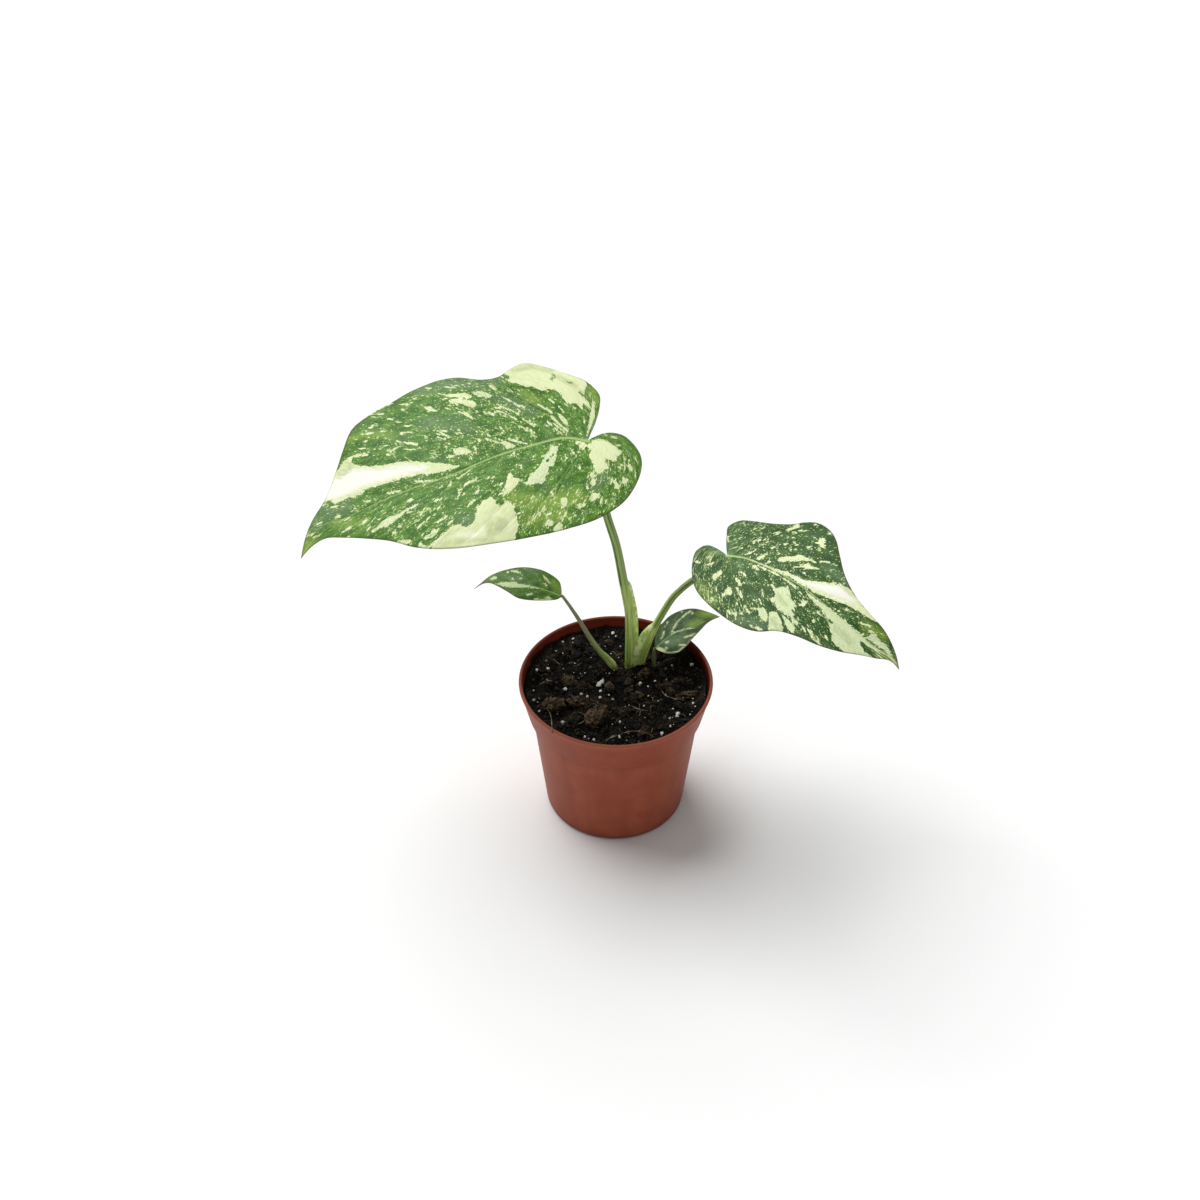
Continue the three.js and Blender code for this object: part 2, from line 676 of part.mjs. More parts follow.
addNode('pot', geometryOf(potSolid()), terracottaPlastic);
addNode('soil', geometryOf(soilSolid()), pottingMix);
addNode('stem_crown', geometryOf(stemSolid), stalkGreen);
addNode('stalk_small_left', stalk(stalkSmallLeft, 0), stalkGreen);
addNode('stalk_small_right', stalk(stalkSmallRight, 0), stalkGreen);
addNode('leaf_large_left', largeLeft.blade(), leafGreen);
addNode('leaf_large_right', largeRight.blade(), darkLeafGreen);
addNode('leaf_small_left', smallLeft.blade(), leafGreen);
addNode('leaf_small_right', smallRight.blade(), darkLeafGreen);

export default group;
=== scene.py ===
# %% [markdown]
# # A potted thai constellation monstera
# The plant is a young monstera whose green blades are marbled with cream. It has
# two large heart-shaped leaves and two small ones on slender stalks, and grows in
# a dark mix of peat, bark and white perlite in a thin terracotta-coloured pot.
#
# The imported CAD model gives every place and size. This lesson dresses it: each
# solid is replaced by a finer piece of the same form, and each finish is painted
# by shader nodes alone, with no image.

# %% Load the frame
import math
from random import Random

import bmesh
import bpy
import numpy as np
from mathutils import Matrix, Vector, noise


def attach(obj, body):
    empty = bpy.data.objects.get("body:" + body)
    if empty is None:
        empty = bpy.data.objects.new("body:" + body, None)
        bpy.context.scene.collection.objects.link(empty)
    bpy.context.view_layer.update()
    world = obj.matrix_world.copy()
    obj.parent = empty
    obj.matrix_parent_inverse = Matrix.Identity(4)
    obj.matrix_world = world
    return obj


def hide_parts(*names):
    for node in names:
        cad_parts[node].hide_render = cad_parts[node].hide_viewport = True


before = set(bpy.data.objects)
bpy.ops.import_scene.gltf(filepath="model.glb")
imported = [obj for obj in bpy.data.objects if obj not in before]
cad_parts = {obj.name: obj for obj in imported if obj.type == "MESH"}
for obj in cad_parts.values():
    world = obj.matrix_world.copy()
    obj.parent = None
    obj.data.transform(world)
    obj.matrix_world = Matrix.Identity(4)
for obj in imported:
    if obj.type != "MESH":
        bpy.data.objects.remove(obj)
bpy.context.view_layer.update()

MM = 0.001
BODY = "root"

# %% [markdown]
# ## The camera and the room
# The plant stands alone on a white surface and is seen from above, at about forty
# degrees. A camera could be placed by eye, but here it was solved from the pot: a
# circle seen from above becomes an ellipse, and its flatness gives the angle.
# The pot's axis is the origin, so the camera needs only a place and one turn.

# %% Camera
CAMERA_PLACE = (-0.0093, -0.650, 0.689)
CAMERA_TILT = 50.5
CAMERA_LENS = 45
CAMERA_SENSOR = 36

camera_data = bpy.data.cameras.new("studio_camera")
camera_data.lens = CAMERA_LENS
camera_data.sensor_width = CAMERA_SENSOR
camera = bpy.data.objects.new("studio_camera", camera_data)
camera.location = CAMERA_PLACE
camera.rotation_euler = (math.radians(CAMERA_TILT), 0, 0)
bpy.context.collection.objects.link(camera)
bpy.context.scene.camera = camera
bpy.context.scene.view_settings.view_transform = "Standard"
print("the camera stands", round(camera.location.length, 3), "m from the pot's foot")

# %% [markdown]
# ## Shader maths as sums
# A finish is a web of nodes, and wiring each by hand hides the idea behind it.
# Wire wraps one socket, so that 1 - mask or height * 0.3 adds its own Math node.
# Finish holds the material and has one method for every other kind of node.

# %% Wires
class Wire:
    """The value on one socket, which can be added, multiplied and so on."""

    def __init__(self, finish, socket):
        self.finish = finish
        self.socket = socket

    def maths(self, operation, first, second):
        """Adds the Math node of this operation and gives its result."""
        settings = {"operation": operation}
        return self.finish.node("ShaderNodeMath", settings, {0: first, 1: second})

    def __add__(self, other):
        return self.maths("ADD", self, other)

    __radd__ = __add__

    def __sub__(self, other):
        return self.maths("SUBTRACT", self, other)

    def __rsub__(self, other):
        return self.maths("SUBTRACT", other, self)

    def __mul__(self, other):
        return self.maths("MULTIPLY", self, other)

    __rmul__ = __mul__

    def highest(self, other):
        return self.maths("MAXIMUM", self, other)

    def size(self):
        return self.finish.node("ShaderNodeMath", {"operation": "ABSOLUTE"}, {0: self})

    def between(self, low, high):
        """0 below low, 1 above high, and a soft step from one to the other."""
        settings = {"interpolation_type": "SMOOTHSTEP", "clamp": True}
        values = {"Value": self, "From Min": low, "From Max": high}
        return self.finish.node("ShaderNodeMapRange", settings, values)


# %% Finishes
def tone(red, green, blue):
    """A colour given as 0 to 255 on screen, as the linear light that shaders use."""
    shares = [value / 255 for value in (red, green, blue)]
    linear = [s / 12.92 if s <= 0.04045 else ((s + 0.055) / 1.055) ** 2.4 for s in shares]
    return (*linear, 1.0)


class Finish:
    """A material that is being built up from nodes."""

    def __init__(self, name):
        self.material = bpy.data.materials.new(name)
        self.material.use_nodes = True
        self.tree = self.material.node_tree
        self.shader = self.tree.nodes["Principled BSDF"]

    def node(self, kind, settings=None, values=None, output=0):
        """Adds a node, sets it up, feeds it, and gives the wire of one output."""
        made = self.tree.nodes.new(kind)
        for key, value in (settings or {}).items():
            setattr(made, key, value)
        self.feed(made, values or {})
        return Wire(self, made.outputs[output])

    def feed(self, node, values):
        """Links each wire to its input, and types every other value in."""
        for key, value in values.items():
            if isinstance(value, Wire):
                self.tree.links.new(value.socket, node.inputs[key])
            else:
                node.inputs[key].default_value = value

    def attribute(self, name, output="Fac"):
        return self.node("ShaderNodeAttribute", {"attribute_name": name}, {}, output)

    def place(self):
        return self.node("ShaderNodeTexCoord", None, None, "Object")

    def stretched(self, vector, factors):
        settings = {"operation": "MULTIPLY"}
        return self.node("ShaderNodeVectorMath", settings, {0: vector, 1: factors})

    def moved(self, vector, step):
        settings = {"operation": "ADD"}
        return self.node("ShaderNodeVectorMath", settings, {0: vector, 1: step})

    def part(self, vector, axis):
        return self.node("ShaderNodeSeparateXYZ", None, {0: vector}, axis)

    def cells(self, vector, scale):
        """How far the heart of each cell is, and the cell's own number from 0 to 1."""
        settings, values = {"voronoi_dimensions": "2D"}, {"Vector": vector, "Scale": scale}
        far = self.node("ShaderNodeTexVoronoi", settings, values, "Distance")
        lot = self.part(Wire(self, far.socket.node.outputs["Color"]), "X")
        return far, lot

    def clouds(self, vector, scale, detail=2.0, roughness=0.5):
        values = {"Vector": vector, "Scale": scale, "Detail": detail, "Roughness": roughness}
        return self.node("ShaderNodeTexNoise", None, values, "Fac")

    def mix(self, factor, first, second):
        """The first colour where factor is 0, and the second where it is 1."""
        made = self.tree.nodes.new("ShaderNodeMix")
        made.data_type = "RGBA"
        self.feed(made, {0: factor, 6: first, 7: second})
        return Wire(self, made.outputs[2])

    def bump(self, height, distance, strength=1.0):
        values = {"Height": height, "Distance": distance, "Strength": strength}
        return self.node("ShaderNodeBump", None, values)

    def finished(self, color, roughness, relief=None, shine=0.5):
        """Feeds the shader and gives the material. shine is its specular level."""
        values = {"Base Color": color, "Roughness": roughness, "Specular IOR Level": shine}
        self.feed(self.shader, values if relief is None else {**values, "Normal": relief})
        print("finish", self.material.name, "has", len(self.tree.nodes), "nodes")
        return self.material


# %% [markdown]
# ## Handing a piece to the frame
# A mesh made with bmesh is only a shape until it becomes an object. Each piece
# here goes through one door: it gets its finish, rides on the plant's one body,
# hides the CAD solids it stands for, and prints how many triangles it has.

# %% Pieces
def add_piece(bm, name, finish, slot, *nodes, smooth=True):
    """Makes the mesh a piece of the plant that stands for these CAD nodes."""
    mesh = bpy.data.meshes.new(name)
    bm.to_mesh(mesh)
    bm.free()
    mesh.materials.append(finish)
    mesh.polygons.foreach_set("use_smooth", [smooth] * len(mesh.polygons))
    piece = bpy.data.objects.new(name, mesh)
    bpy.context.collection.objects.link(piece)
    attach(piece, BODY)
    if nodes:
        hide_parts(*nodes)
    triangles = sum(len(polygon.vertices) - 2 for polygon in mesh.polygons)
    print(name, "has", triangles, "triangles")


def smooth_curve(points, steps):
    """Points on a smooth curve that runs through the given ones."""
    given = np.array(points, float)
    last = len(given) - 1
    curve = []
    for i in range(last):
        before, start = given[max(i - 1, 0)], given[i]
        end, after = given[i + 1], given[min(i + 2, last)]
        for t in np.arange(steps) / steps:
            curve.append(0.5 * (2 * start + (end - before) * t
                                + (2 * before - 5 * start + 4 * end - after) * t ** 2
                                + (3 * start - before - 3 * end + after) * t ** 3))
    curve.append(given[last])
    return np.array(curve)


# %% [markdown]
# ## The pot
# A nursery pot is moulded in one shot from thin plastic: a tapered cup with a
# taller flared band at the top and a small bead round the lip. It could be built
# from cylinders, but it is a turned form, so half of its section is drawn once
# and spun round the axis. The numbers repeat the CAD's, with rounder corners.

# %% Section of the pot
POT_HEIGHT = 94
RIM_RADIUS = 57
BAND_BOTTOM_Z = 71.5
BAND_BOTTOM_RADIUS = 52
BODY_TOP_RADIUS = 49.6
BASE_RADIUS = 42.5
BASE_EDGE = 2.5
POT_WALL = 1.4
POT_FLOOR = 1.8
LIP_THICKNESS = 2.2
BAND_STEP = 1.2


def inner_wall(inset):
    """(radius, z) points up the wall's inner face, moved inwards by inset."""
    shift = POT_WALL + inset
    high = POT_HEIGHT - 3
    share = (high - BAND_BOTTOM_Z) / (POT_HEIGHT - BAND_BOTTOM_Z)
    top = BAND_BOTTOM_RADIUS + (RIM_RADIUS - BAND_BOTTOM_RADIUS) * share
    return [(BASE_RADIUS - shift - 2, POT_FLOOR + inset),
            (BASE_RADIUS - shift + 0.2, POT_FLOOR + 2.4 + inset),
            (BODY_TOP_RADIUS - shift, BAND_BOTTOM_Z - BAND_STEP + 1 + inset),
            (BAND_BOTTOM_RADIUS - shift, BAND_BOTTOM_Z + 1 + inset),
            (top - shift, high)]


def pot_section():
    """(radius, z) points round half of the section, from the axis back to the axis."""
    base = [(BASE_RADIUS - BASE_EDGE * (1 - math.sin(angle)), BASE_EDGE * (1 - math.cos(angle)))
            for angle in (math.radians(step) for step in range(0, 91, 15))]
    step = [(BODY_TOP_RADIUS - 0.05, BAND_BOTTOM_Z - BAND_STEP - 1.2),
            (BODY_TOP_RADIUS + 0.25, BAND_BOTTOM_Z - BAND_STEP - 0.3),
            (BODY_TOP_RADIUS + 0.9, BAND_BOTTOM_Z - BAND_STEP + 0.2),
            (BAND_BOTTOM_RADIUS - 0.7, BAND_BOTTOM_Z - 0.35),
            (BAND_BOTTOM_RADIUS - 0.15, BAND_BOTTOM_Z + 0.3),
            (BAND_BOTTOM_RADIUS + 0.15, BAND_BOTTOM_Z + 1.1)]
    lip = [(RIM_RADIUS - inwards, POT_HEIGHT - down) for inwards, down in (
        (0.7, 2.6), (0.5, 2.1), (0.12, 1.75), (0, 1.3), (0.05, 0.8), (0.3, 0.3),
        (0.7, 0.05), (1.1, 0), (1.5, 0.08), (LIP_THICKNESS - 0.25, 0.35),
        (LIP_THICKNESS - 0.02, 0.9), (LIP_THICKNESS, 1.6))]
    inside = inner_wall(0)[::-1]
    return [(0, 0), *base, *step, *lip, *inside, (0, POT_FLOOR)]


# %% Spin the pot and open its drain holes
POT_STEPS = 144
DRAIN_HOLES = 6
DRAIN_RADIUS = 3
DRAIN_CIRCLE = 27


def spun(section, steps):
    """A closed turned body from a section that starts and ends on the axis."""
    bm = bmesh.new()
    corners = [bm.verts.new((radius * MM, 0, z * MM)) for radius, z in section]
    sides = [bm.edges.new(pair) for pair in zip(corners, corners[1:])]
    bmesh.ops.spin(bm, geom=corners + sides, cent=(0, 0, 0), axis=(0, 0, 1),
                   angle=2 * math.pi, steps=steps, use_merge=True)
    bmesh.ops.remove_doubles(bm, verts=bm.verts, dist=1e-6)
    bmesh.ops.recalc_face_normals(bm, faces=bm.faces)
    return bm


def loose_object(bm, name):
    """A bare object with this mesh, which isn't a piece of the plant."""
    mesh = bpy.data.meshes.new(name)
    bm.to_mesh(mesh)
    bm.free()
    made = bpy.data.objects.new(name, mesh)
    bpy.context.collection.objects.link(made)
    return made


def cut_away(body, cutter):
    """A bmesh of body with cutter's shape taken out of it."""
    cut = body.modifiers.new("cut", "BOOLEAN")
    cut.operation = "DIFFERENCE"
    cut.object = cutter
    bpy.context.view_layer.update()
    bm = bmesh.new()
    bm.from_object(body, bpy.context.evaluated_depsgraph_get())
    for used in (body, cutter):
        bpy.data.objects.remove(used)
    return bm


drills = bmesh.new()
for hole in range(DRAIN_HOLES):
    angle = (hole + 0.5) * 2 * math.pi / DRAIN_HOLES
    spot = Vector((math.cos(angle), math.sin(angle), 0)) * DRAIN_CIRCLE * MM
    bmesh.ops.create_cone(drills, cap_ends=True, segments=32, radius1=DRAIN_RADIUS * MM,
                          radius2=DRAIN_RADIUS * MM, depth=4 * POT_FLOOR * MM,
                          matrix=Matrix.Translation(spot))
pot_mesh = cut_away(loose_object(spun(pot_section(), POT_STEPS), "pot_blank"),
                    loose_object(drills, "drain_drills"))
print("pot mesh has", len(pot_mesh.faces), "faces")

# %% [markdown]
# ## The pot's plastic
# The plastic is a dusty brick red with a soft sheen. Light from the side picks out
# faint upright flow lines from the mould. The band is painted darker than the cup as
# painted shade, with a painted shadow just under its step. The lip's top is painted
# paler in front as a painted highlight, and darker behind as painted shade. The
# inside is painted darker as painted shade, most of all on the right, where the
# leaves shade it; just above the soil it is near black, partly a soil stain and
# partly painted shade. Object coordinates say where each belongs: every pair below
# is where a soft step starts and ends, in metres.

# %% Where the plastic changes
STEP_SHADE = (0.0635, 0.0700)
STEP_EDGE = (0.0700, 0.0706)
BAND_START = (0.0706, 0.074)
BAND_END = (0.088, 0.0915)
LIP_HIGHLIGHT = (0.0915, 0.0935)
LIP_SHADE_BEHIND = (0.0905, 0.0935)
FOOT = (0.0, 0.006)
SOIL_LINE = (0.0872, 0.0896)
TOWARDS_THE_BACK = (-0.025, 0.03)
TOWARDS_THE_RIGHT = (0.02, 0.05)

# %% Plastic finish
def pot_plastic():
    f = Finish("dusty_terracotta_plastic")
    place = f.place()
    height = f.part(place, "Z")
    flow = f.clouds(f.stretched(place, (1, 1, 0.06)), 90, 3)
    dust = f.clouds(place, 60, 4, 0.6)
    grain = f.clouds(place, 1500, 2)
    specks = f.clouds(place, 700, 1).between(0.69, 0.74)
    color = f.mix(dust.between(0.3, 0.7), tone(148, 70, 45), tone(160, 83, 57))
    color = f.mix(flow.between(0.35, 0.75) * 0.5, color, tone(133, 61, 43))
    # Painted shadow: the plastic is painted darker just under the band's step.
    shade = height.between(*STEP_SHADE) * (1 - height.between(*STEP_EDGE))
    color = f.mix(shade * 0.25, color, tone(84, 38, 28))
    # Painted highlight: the top of the lip is painted paler.
    color = f.mix(height.between(*LIP_HIGHLIGHT) * 0.7, color, tone(164, 96, 78))
    # Painted shade: the top of the lip is painted darker towards the back.
    far_side = f.part(place, "Y").between(*TOWARDS_THE_BACK)
    color = f.mix(height.between(*LIP_SHADE_BEHIND) * far_side * 0.75, color, tone(92, 42, 33))
    # Painted shade: the band is painted darker than the cup.
    band = height.between(*BAND_START) * (1 - height.between(*BAND_END))
    color = f.mix(band * 0.3, color, tone(128, 56, 36))
    low = 1 - height.between(*FOOT)
    color = f.mix(low * 0.5, color, tone(96, 50, 40))
    # Painted shade: the inside is painted a darker red.
    inside = f.attribute("inside")
    color = f.mix(inside * 0.9, color, tone(134, 50, 36))
    # Painted shade: the inside is painted darker still on the right, where the leaves shade it,
    # and the near-black line above the soil rises there.
    shaded_right_side = f.part(place, "X").between(*TOWARDS_THE_RIGHT)
    # Near black just above the soil on the inside: partly a soil stain, partly painted shade.
    dirt = 1 - (height + (dust - 0.5) * 0.014 - shaded_right_side * 0.003).between(*SOIL_LINE)
    color = f.mix(dirt * inside * 0.9, color, tone(30, 17, 12))
    color = f.mix(shaded_right_side * inside * 0.45, color, tone(60, 24, 19))
    color = f.mix(specks * 0.35, color, tone(90, 52, 42))
    relief = f.bump(flow * 0.6 + grain * 0.25, 0.00025, 0.6)
    return f.finished(color, dust * 0.18 + 0.42, relief, shine=0.15)


# %% Mark the pot's inner face and hand it over
inside_mark = pot_mesh.verts.layers.float.new("inside")
wall_line = np.array(inner_wall(0))
for vert in pot_mesh.verts:
    reach, level = math.hypot(vert.co.x, vert.co.y) / MM, vert.co.z / MM
    wall = np.interp(level, wall_line[:, 1], wall_line[:, 0])
    within = level > POT_FLOOR - 0.1 and reach < wall + 0.3
    vert[inside_mark] = 1.0 if within else 0.0
add_piece(pot_mesh, "nursery_pot", pot_plastic(), "pot_plastic", "pot")

# %% [markdown]
# ## The bed of potting mix
# Potting mix is a heap of crumbs, fibres and bark. Particles would be the quick
# way, but they are lost on export, so the bed is one fine grid pressed into a disc
# and lifted by noise, and the loose bits are real meshes laid on it. The large
# swells follow the same formula as the CAD's soil, so the two agree.

# %% Height of the bed
SOIL_TOP_Z = 86
GAP = 0.35
BED_HOLLOW = (3, 2, 3.2, 90)
STEM_PIT = (1.5, 3, 2.6, 40)


def hollow(x, y, middle_x, middle_y, depth, spread):
    """How far a smooth round hollow lowers the bed here."""
    return depth * math.exp(-((x - middle_x) ** 2 + (y - middle_y) ** 2) / spread)


def soil_height(x, y):
    """Height of the CAD's soil, with its large swells."""
    lumps = (0.9 * math.sin(0.19 * x + 0.8) * math.cos(0.16 * y - 0.4)
             + 0.7 * math.sin(0.33 * x - 0.27 * y + 2.1) + 0.5 * math.cos(0.41 * x + 0.37 * y))
    return SOIL_TOP_Z + lumps - hollow(x, y, *BED_HOLLOW)


def crumbly(x, y):
    """Height with the clods, crumbs and pits that the CAD leaves out."""
    here = Vector((x, y, 0))
    clods = noise.noise(here * 0.16) * 1.4
    crumbs = noise.noise(here * 0.55 + Vector((9, 4, 2))) * 0.9
    grit = noise.noise(here * 1.5 + Vector((3, 8, 5))) * 0.45
    nearest = noise.voronoi(here * 0.42)[0][0]
    flakes = 1.7 * (0.5 - nearest)
    return soil_height(x, y) + clods + crumbs + grit + flakes - hollow(x, y, *STEM_PIT)


# %% Press a grid into a disc and give it depth
BED_CELLS = 190
WALL_STRIP = 5
WALL_RISE = 1.8


def verts_in(geometry):
    return [item for item in geometry if isinstance(item, bmesh.types.BMVert)]


def squared_to_round(x, y):
    """Maps the unit square to the unit disc, keeping neighbours together."""
    return x * math.sqrt(1 - y * y / 2), y * math.sqrt(1 - x * x / 2)


def soil_bed():
    """A filled disc of soil, which meets the wall a little higher than it lies."""
    wall = np.array(inner_wall(GAP))
    rim = float(np.interp(SOIL_TOP_Z, wall[:, 1], wall[:, 0])) - 0.05
    bm = bmesh.new()
    bmesh.ops.create_grid(bm, x_segments=BED_CELLS, y_segments=BED_CELLS, size=1)
    for vert in bm.verts:
        x, y = squared_to_round(vert.co.x, vert.co.y)
        x, y = x * rim, y * rim
        near_wall = max(0.0, (math.hypot(x, y) - rim + WALL_STRIP) / WALL_STRIP)
        z = crumbly(x, y) * (1 - near_wall) + (SOIL_TOP_Z + WALL_RISE) * near_wall
        vert.co = Vector((x, y, z)) * MM
    for radius, z in wall[2::-1]:
        edges = [edge for edge in bm.edges if edge.is_boundary]
        made = bmesh.ops.extrude_edge_only(bm, edges=edges)["geom"]
        for vert in verts_in(made):
            factor = radius * MM / math.hypot(vert.co.x, vert.co.y)
            vert.co = (vert.co.x * factor, vert.co.y * factor, z * MM)
    bmesh.ops.holes_fill(bm, edges=[edge for edge in bm.edges if edge.is_boundary], sides=0)
    bmesh.ops.recalc_face_normals(bm, faces=bm.faces)
    return bm


# %% [markdown]
# ## The mix's finishes
# Damp peat is almost black and drinks the light, with brown fibres and paler dry
# crumbs here and there. Bark is a warmer brown with a rough, layered face, and
# perlite is a chalky white foam. All three read Object coordinates, because the
# bits lie every way and have no direction of their own.

# %% Peat
# Heights in metres below which the bed is painted near black as painted shade.
DEEP_IN_THE_BED = (0.0820, 0.0865)


def peat_finish():
    f = Finish("damp_peat")
    place = f.place()
    patches = f.clouds(place, 110, 3, 0.6)
    fine = f.clouds(place, 620, 4, 0.7)
    fibres = f.clouds(f.stretched(place, (1, 0.22, 1)), 900, 2)
    color = f.mix(fine.between(0.45, 0.75), tone(4, 3, 2), tone(28, 21, 15))
    color = f.mix(patches.between(0.52, 0.66) * 0.7, color, tone(48, 37, 27))
    color = f.mix(fibres.between(0.66, 0.74) * 0.6, color, tone(84, 66, 46))
    dots = f.clouds(place, 1300, 1).between(0.70, 0.74)
    color = f.mix(dots * 0.8, color, tone(150, 138, 118))
    # Painted shade: the low places of the bed are painted near black.
    depth = 1 - f.part(place, "Z").between(*DEEP_IN_THE_BED)
    color = f.mix(depth, color, tone(3, 2, 2))
    return f.finished(color, 0.9 - patches * 0.3, f.bump(fine + fibres * 0.5, 0.0008),
                      shine=0.12)


PEAT = peat_finish()
add_piece(soil_bed(), "potting_mix_bed", PEAT, "potting_mix", "soil")

# %% Bark and perlite
def bark_finish():
    """tint, which each chip has for itself, makes it dark or warm brown."""
    f = Finish("brown_bark")
    place = f.place()
    tint = f.attribute("tint")
    layers = f.clouds(f.stretched(place, (1, 0.5, 2.6)), 420, 4, 0.65)
    stains = f.clouds(place, 180, 3, 0.6)
    color = f.mix(tint, tone(12, 9, 7), tone(112, 88, 66))
    color = f.mix(layers.between(0.5, 0.72) * tint, color, tone(172, 138, 106))
    color = f.mix(stains.between(0.45, 0.58) * 0.8, color, tone(9, 7, 5))
    pits = f.clouds(place, 700, 2).between(0.36, 0.46)
    color = f.mix(pits, tone(7, 5, 4), color)
    dots = f.clouds(place, 1500, 1).between(0.7, 0.75)
    color = f.mix(dots * 0.5, color, tone(160, 140, 115))
    return f.finished(color, 0.85 - stains * 0.2, f.bump(layers + pits * 0.6, 0.0014),
                      shine=0.2)


def perlite_finish():
    f = Finish("white_perlite")
    place = f.place()
    pores = f.clouds(place, 1400, 3, 0.6)
    dirt = f.clouds(place, 420, 2)
    color = f.mix(pores.between(0.35, 0.65), tone(206, 204, 198), tone(250, 250, 246))
    color = f.mix(dirt.between(0.58, 0.72) * 0.7, color, tone(104, 90, 72))
    return f.finished(color, pores * 0.2 + 0.7, f.bump(pores, 0.0004))


BARK = bark_finish()
PERLITE = perlite_finish()

# %% [markdown]
# ## Bark, crumbs and beads
# A broken chip has flat faces meeting at sharp edges. Cutting a ball with a few
# random planes gives just that, so each chip is an icosphere whose points are
# pulled in to the nearest plane. The large chips lie where they do on the real
# plant, and the small ones follow the same number series as the CAD's.

# %% One chip
CHIP_PLANES = 11
CHIP_REACH = 1.15


def chip(bm, spot, size, turn, tilt, random, detail, roughness, marks, brightness=(0, 1)):
    """Adds one broken chip and paints its tint on it."""
    planes = []
    for _ in range(CHIP_PLANES):
        way = Vector((random.gauss(0, 1), random.gauss(0, 1), random.gauss(0, 1))).normalized()
        planes.append((way, random.uniform(0.62, 1.0)))
    ball = bmesh.ops.create_icosphere(bm, subdivisions=detail, radius=1)["verts"]
    shift = Vector((random.uniform(0, 90), random.uniform(0, 90), 0))
    tint = random.uniform(*brightness)
    turned = Matrix.Rotation(math.radians(turn), 3, "Z") @ Matrix.Rotation(tilt, 3, "X")
    for vert in ball:
        way = vert.co.normalized()
        faced = [far / way.dot(flat) for flat, far in planes if way.dot(flat) > 0.2]
        reach = min([*faced, CHIP_REACH])
        reach += roughness * (noise.noise(way * 2.6 + shift)
                              + 0.5 * noise.noise(way * 7 + shift)
                              + 0.3 * noise.noise(way * 16 + shift))
        place = Vector([0.5 * length * reach * part for length, part in zip(size, way)])
        vert.co = (turned @ place + Vector(spot)) * MM
        vert[marks] = tint


# %% Places of the chips, as in the CAD
class NumberSeries:
    """The CAD's own series of numbers between 0 and 1."""

    def __init__(self, seed):
        self.state = seed

    def draw(self):
        self.state = self.state * 16807 % 2147483647
        return self.state / 2147483647

    def skip(self, count):
        for _ in range(count):
            self.draw()


BIG_BARK = [(-36, -15, 13, 10, 8, 20), (-21, -12, 13, 8, 6, -10), (-11, -25, 15, 12, 10, 35),
            (-28, 5, 13, 8, 6, -20), (42, -6, 19, 6, 5, 8), (16, 11, 10, 7, 7, 70),
            (5, -20, 9, 7, 5, 40), (-25, -30, 9, 6, 5, 15)]
STEM_SPOTS = [(9, 22, 9), (15, 22, 9), (-3, 18, 7), (23, 19, 5)]
BED_REACH = 49
BARK_COUNT = 20
PERLITE_COUNT = 10
CHIP_DRAWS = 25
SERIES_SEED = 41


def laid_out():
    """The CAD's small chips and beads, found by the rule that the CAD uses."""
    series = NumberSeries(SERIES_SEED)
    series.skip(CHIP_DRAWS * len(BIG_BARK))
    taken = [(x, y, 0.4 * length) for x, y, length, *_ in BIG_BARK]
    chips, beads = [], []

    def clear(x, y, margin):
        return (math.hypot(x, y) < BED_REACH - margin
                and all(math.hypot(x - a, y - b) > r + margin for a, b, r in STEM_SPOTS)
                and all(math.hypot(x - a, y - b) > r + 0.6 * margin for a, b, r in taken))

    while len(taken) < BARK_COUNT:
        x, y = 96 * (series.draw() - 0.5), 96 * (series.draw() - 0.5)
        length, turn = 6 + 5 * series.draw(), 180 * series.draw()
        if clear(x, y, 0.5 * length):
            series.skip(CHIP_DRAWS)
            chips.append((x, y, length, 0.7 * length, 0.55 * length, turn))
            taken.append((x, y, 0.4 * length))
    while len(taken) < BARK_COUNT + PERLITE_COUNT:
        x, y = 94 * (series.draw() - 0.5), 94 * (series.draw() - 0.5)
        radius = 1.2 + 0.8 * series.draw()
        if clear(x, y, radius):
            beads.append((x, y, radius))
            taken.append((x, y, radius))
    return chips, beads


RULE_CHIPS, RULE_BEADS = laid_out()
print("chips and beads from the rule:", len(RULE_CHIPS), len(RULE_BEADS))

# %% Bark chips
LARGE_CHIP = 9.5
BARK_ROUGHNESS = 0.28


def bark_chips():
    """The chips in their CAD places. Large ones are finer and paler than small ones."""
    random = Random(7)
    bm = bmesh.new()
    marks = bm.verts.layers.float.new("tint")
    for x, y, length, width, height, turn in BIG_BARK + RULE_CHIPS:
        spot = (x, y, soil_height(x, y) + 0.1 * height)
        large = length > LARGE_CHIP
        chip(bm, spot, (1.02 * length, 1.02 * width, height), turn,
             random.uniform(-0.25, 0.25), random, 5 if large else 4, BARK_ROUGHNESS, marks,
             (0.55, 0.95) if large else (0, 0.7))
    return bm


add_piece(bark_chips(), "bark_chips", BARK, "potting_mix")

# %% [markdown]
# Crumbs fill the gaps between the chips. There are hundreds, so each has only a
# few dozen faces, and half of them are sunk in the bed so that none seems to float.
# Strewing by the square root of a random number gives every bit of the bed its
# share, because a ring's area grows with its radius.

# %% Strewing
def strewn(random, radius):
    """A random spot in a circle round the pot's axis."""
    angle, reach = random.uniform(0, 2 * math.pi), radius * math.sqrt(random.random())
    return reach * math.cos(angle), reach * math.sin(angle)


# %% Crumbs
CRUMB_COUNT = 560
CRUMB_FIELD = 50
OPEN_BED = 49.5
CRUMB_ROUGHNESS = 0.25
PIT_X, PIT_Y, PIT_RADIUS = 2, 3, 8.5


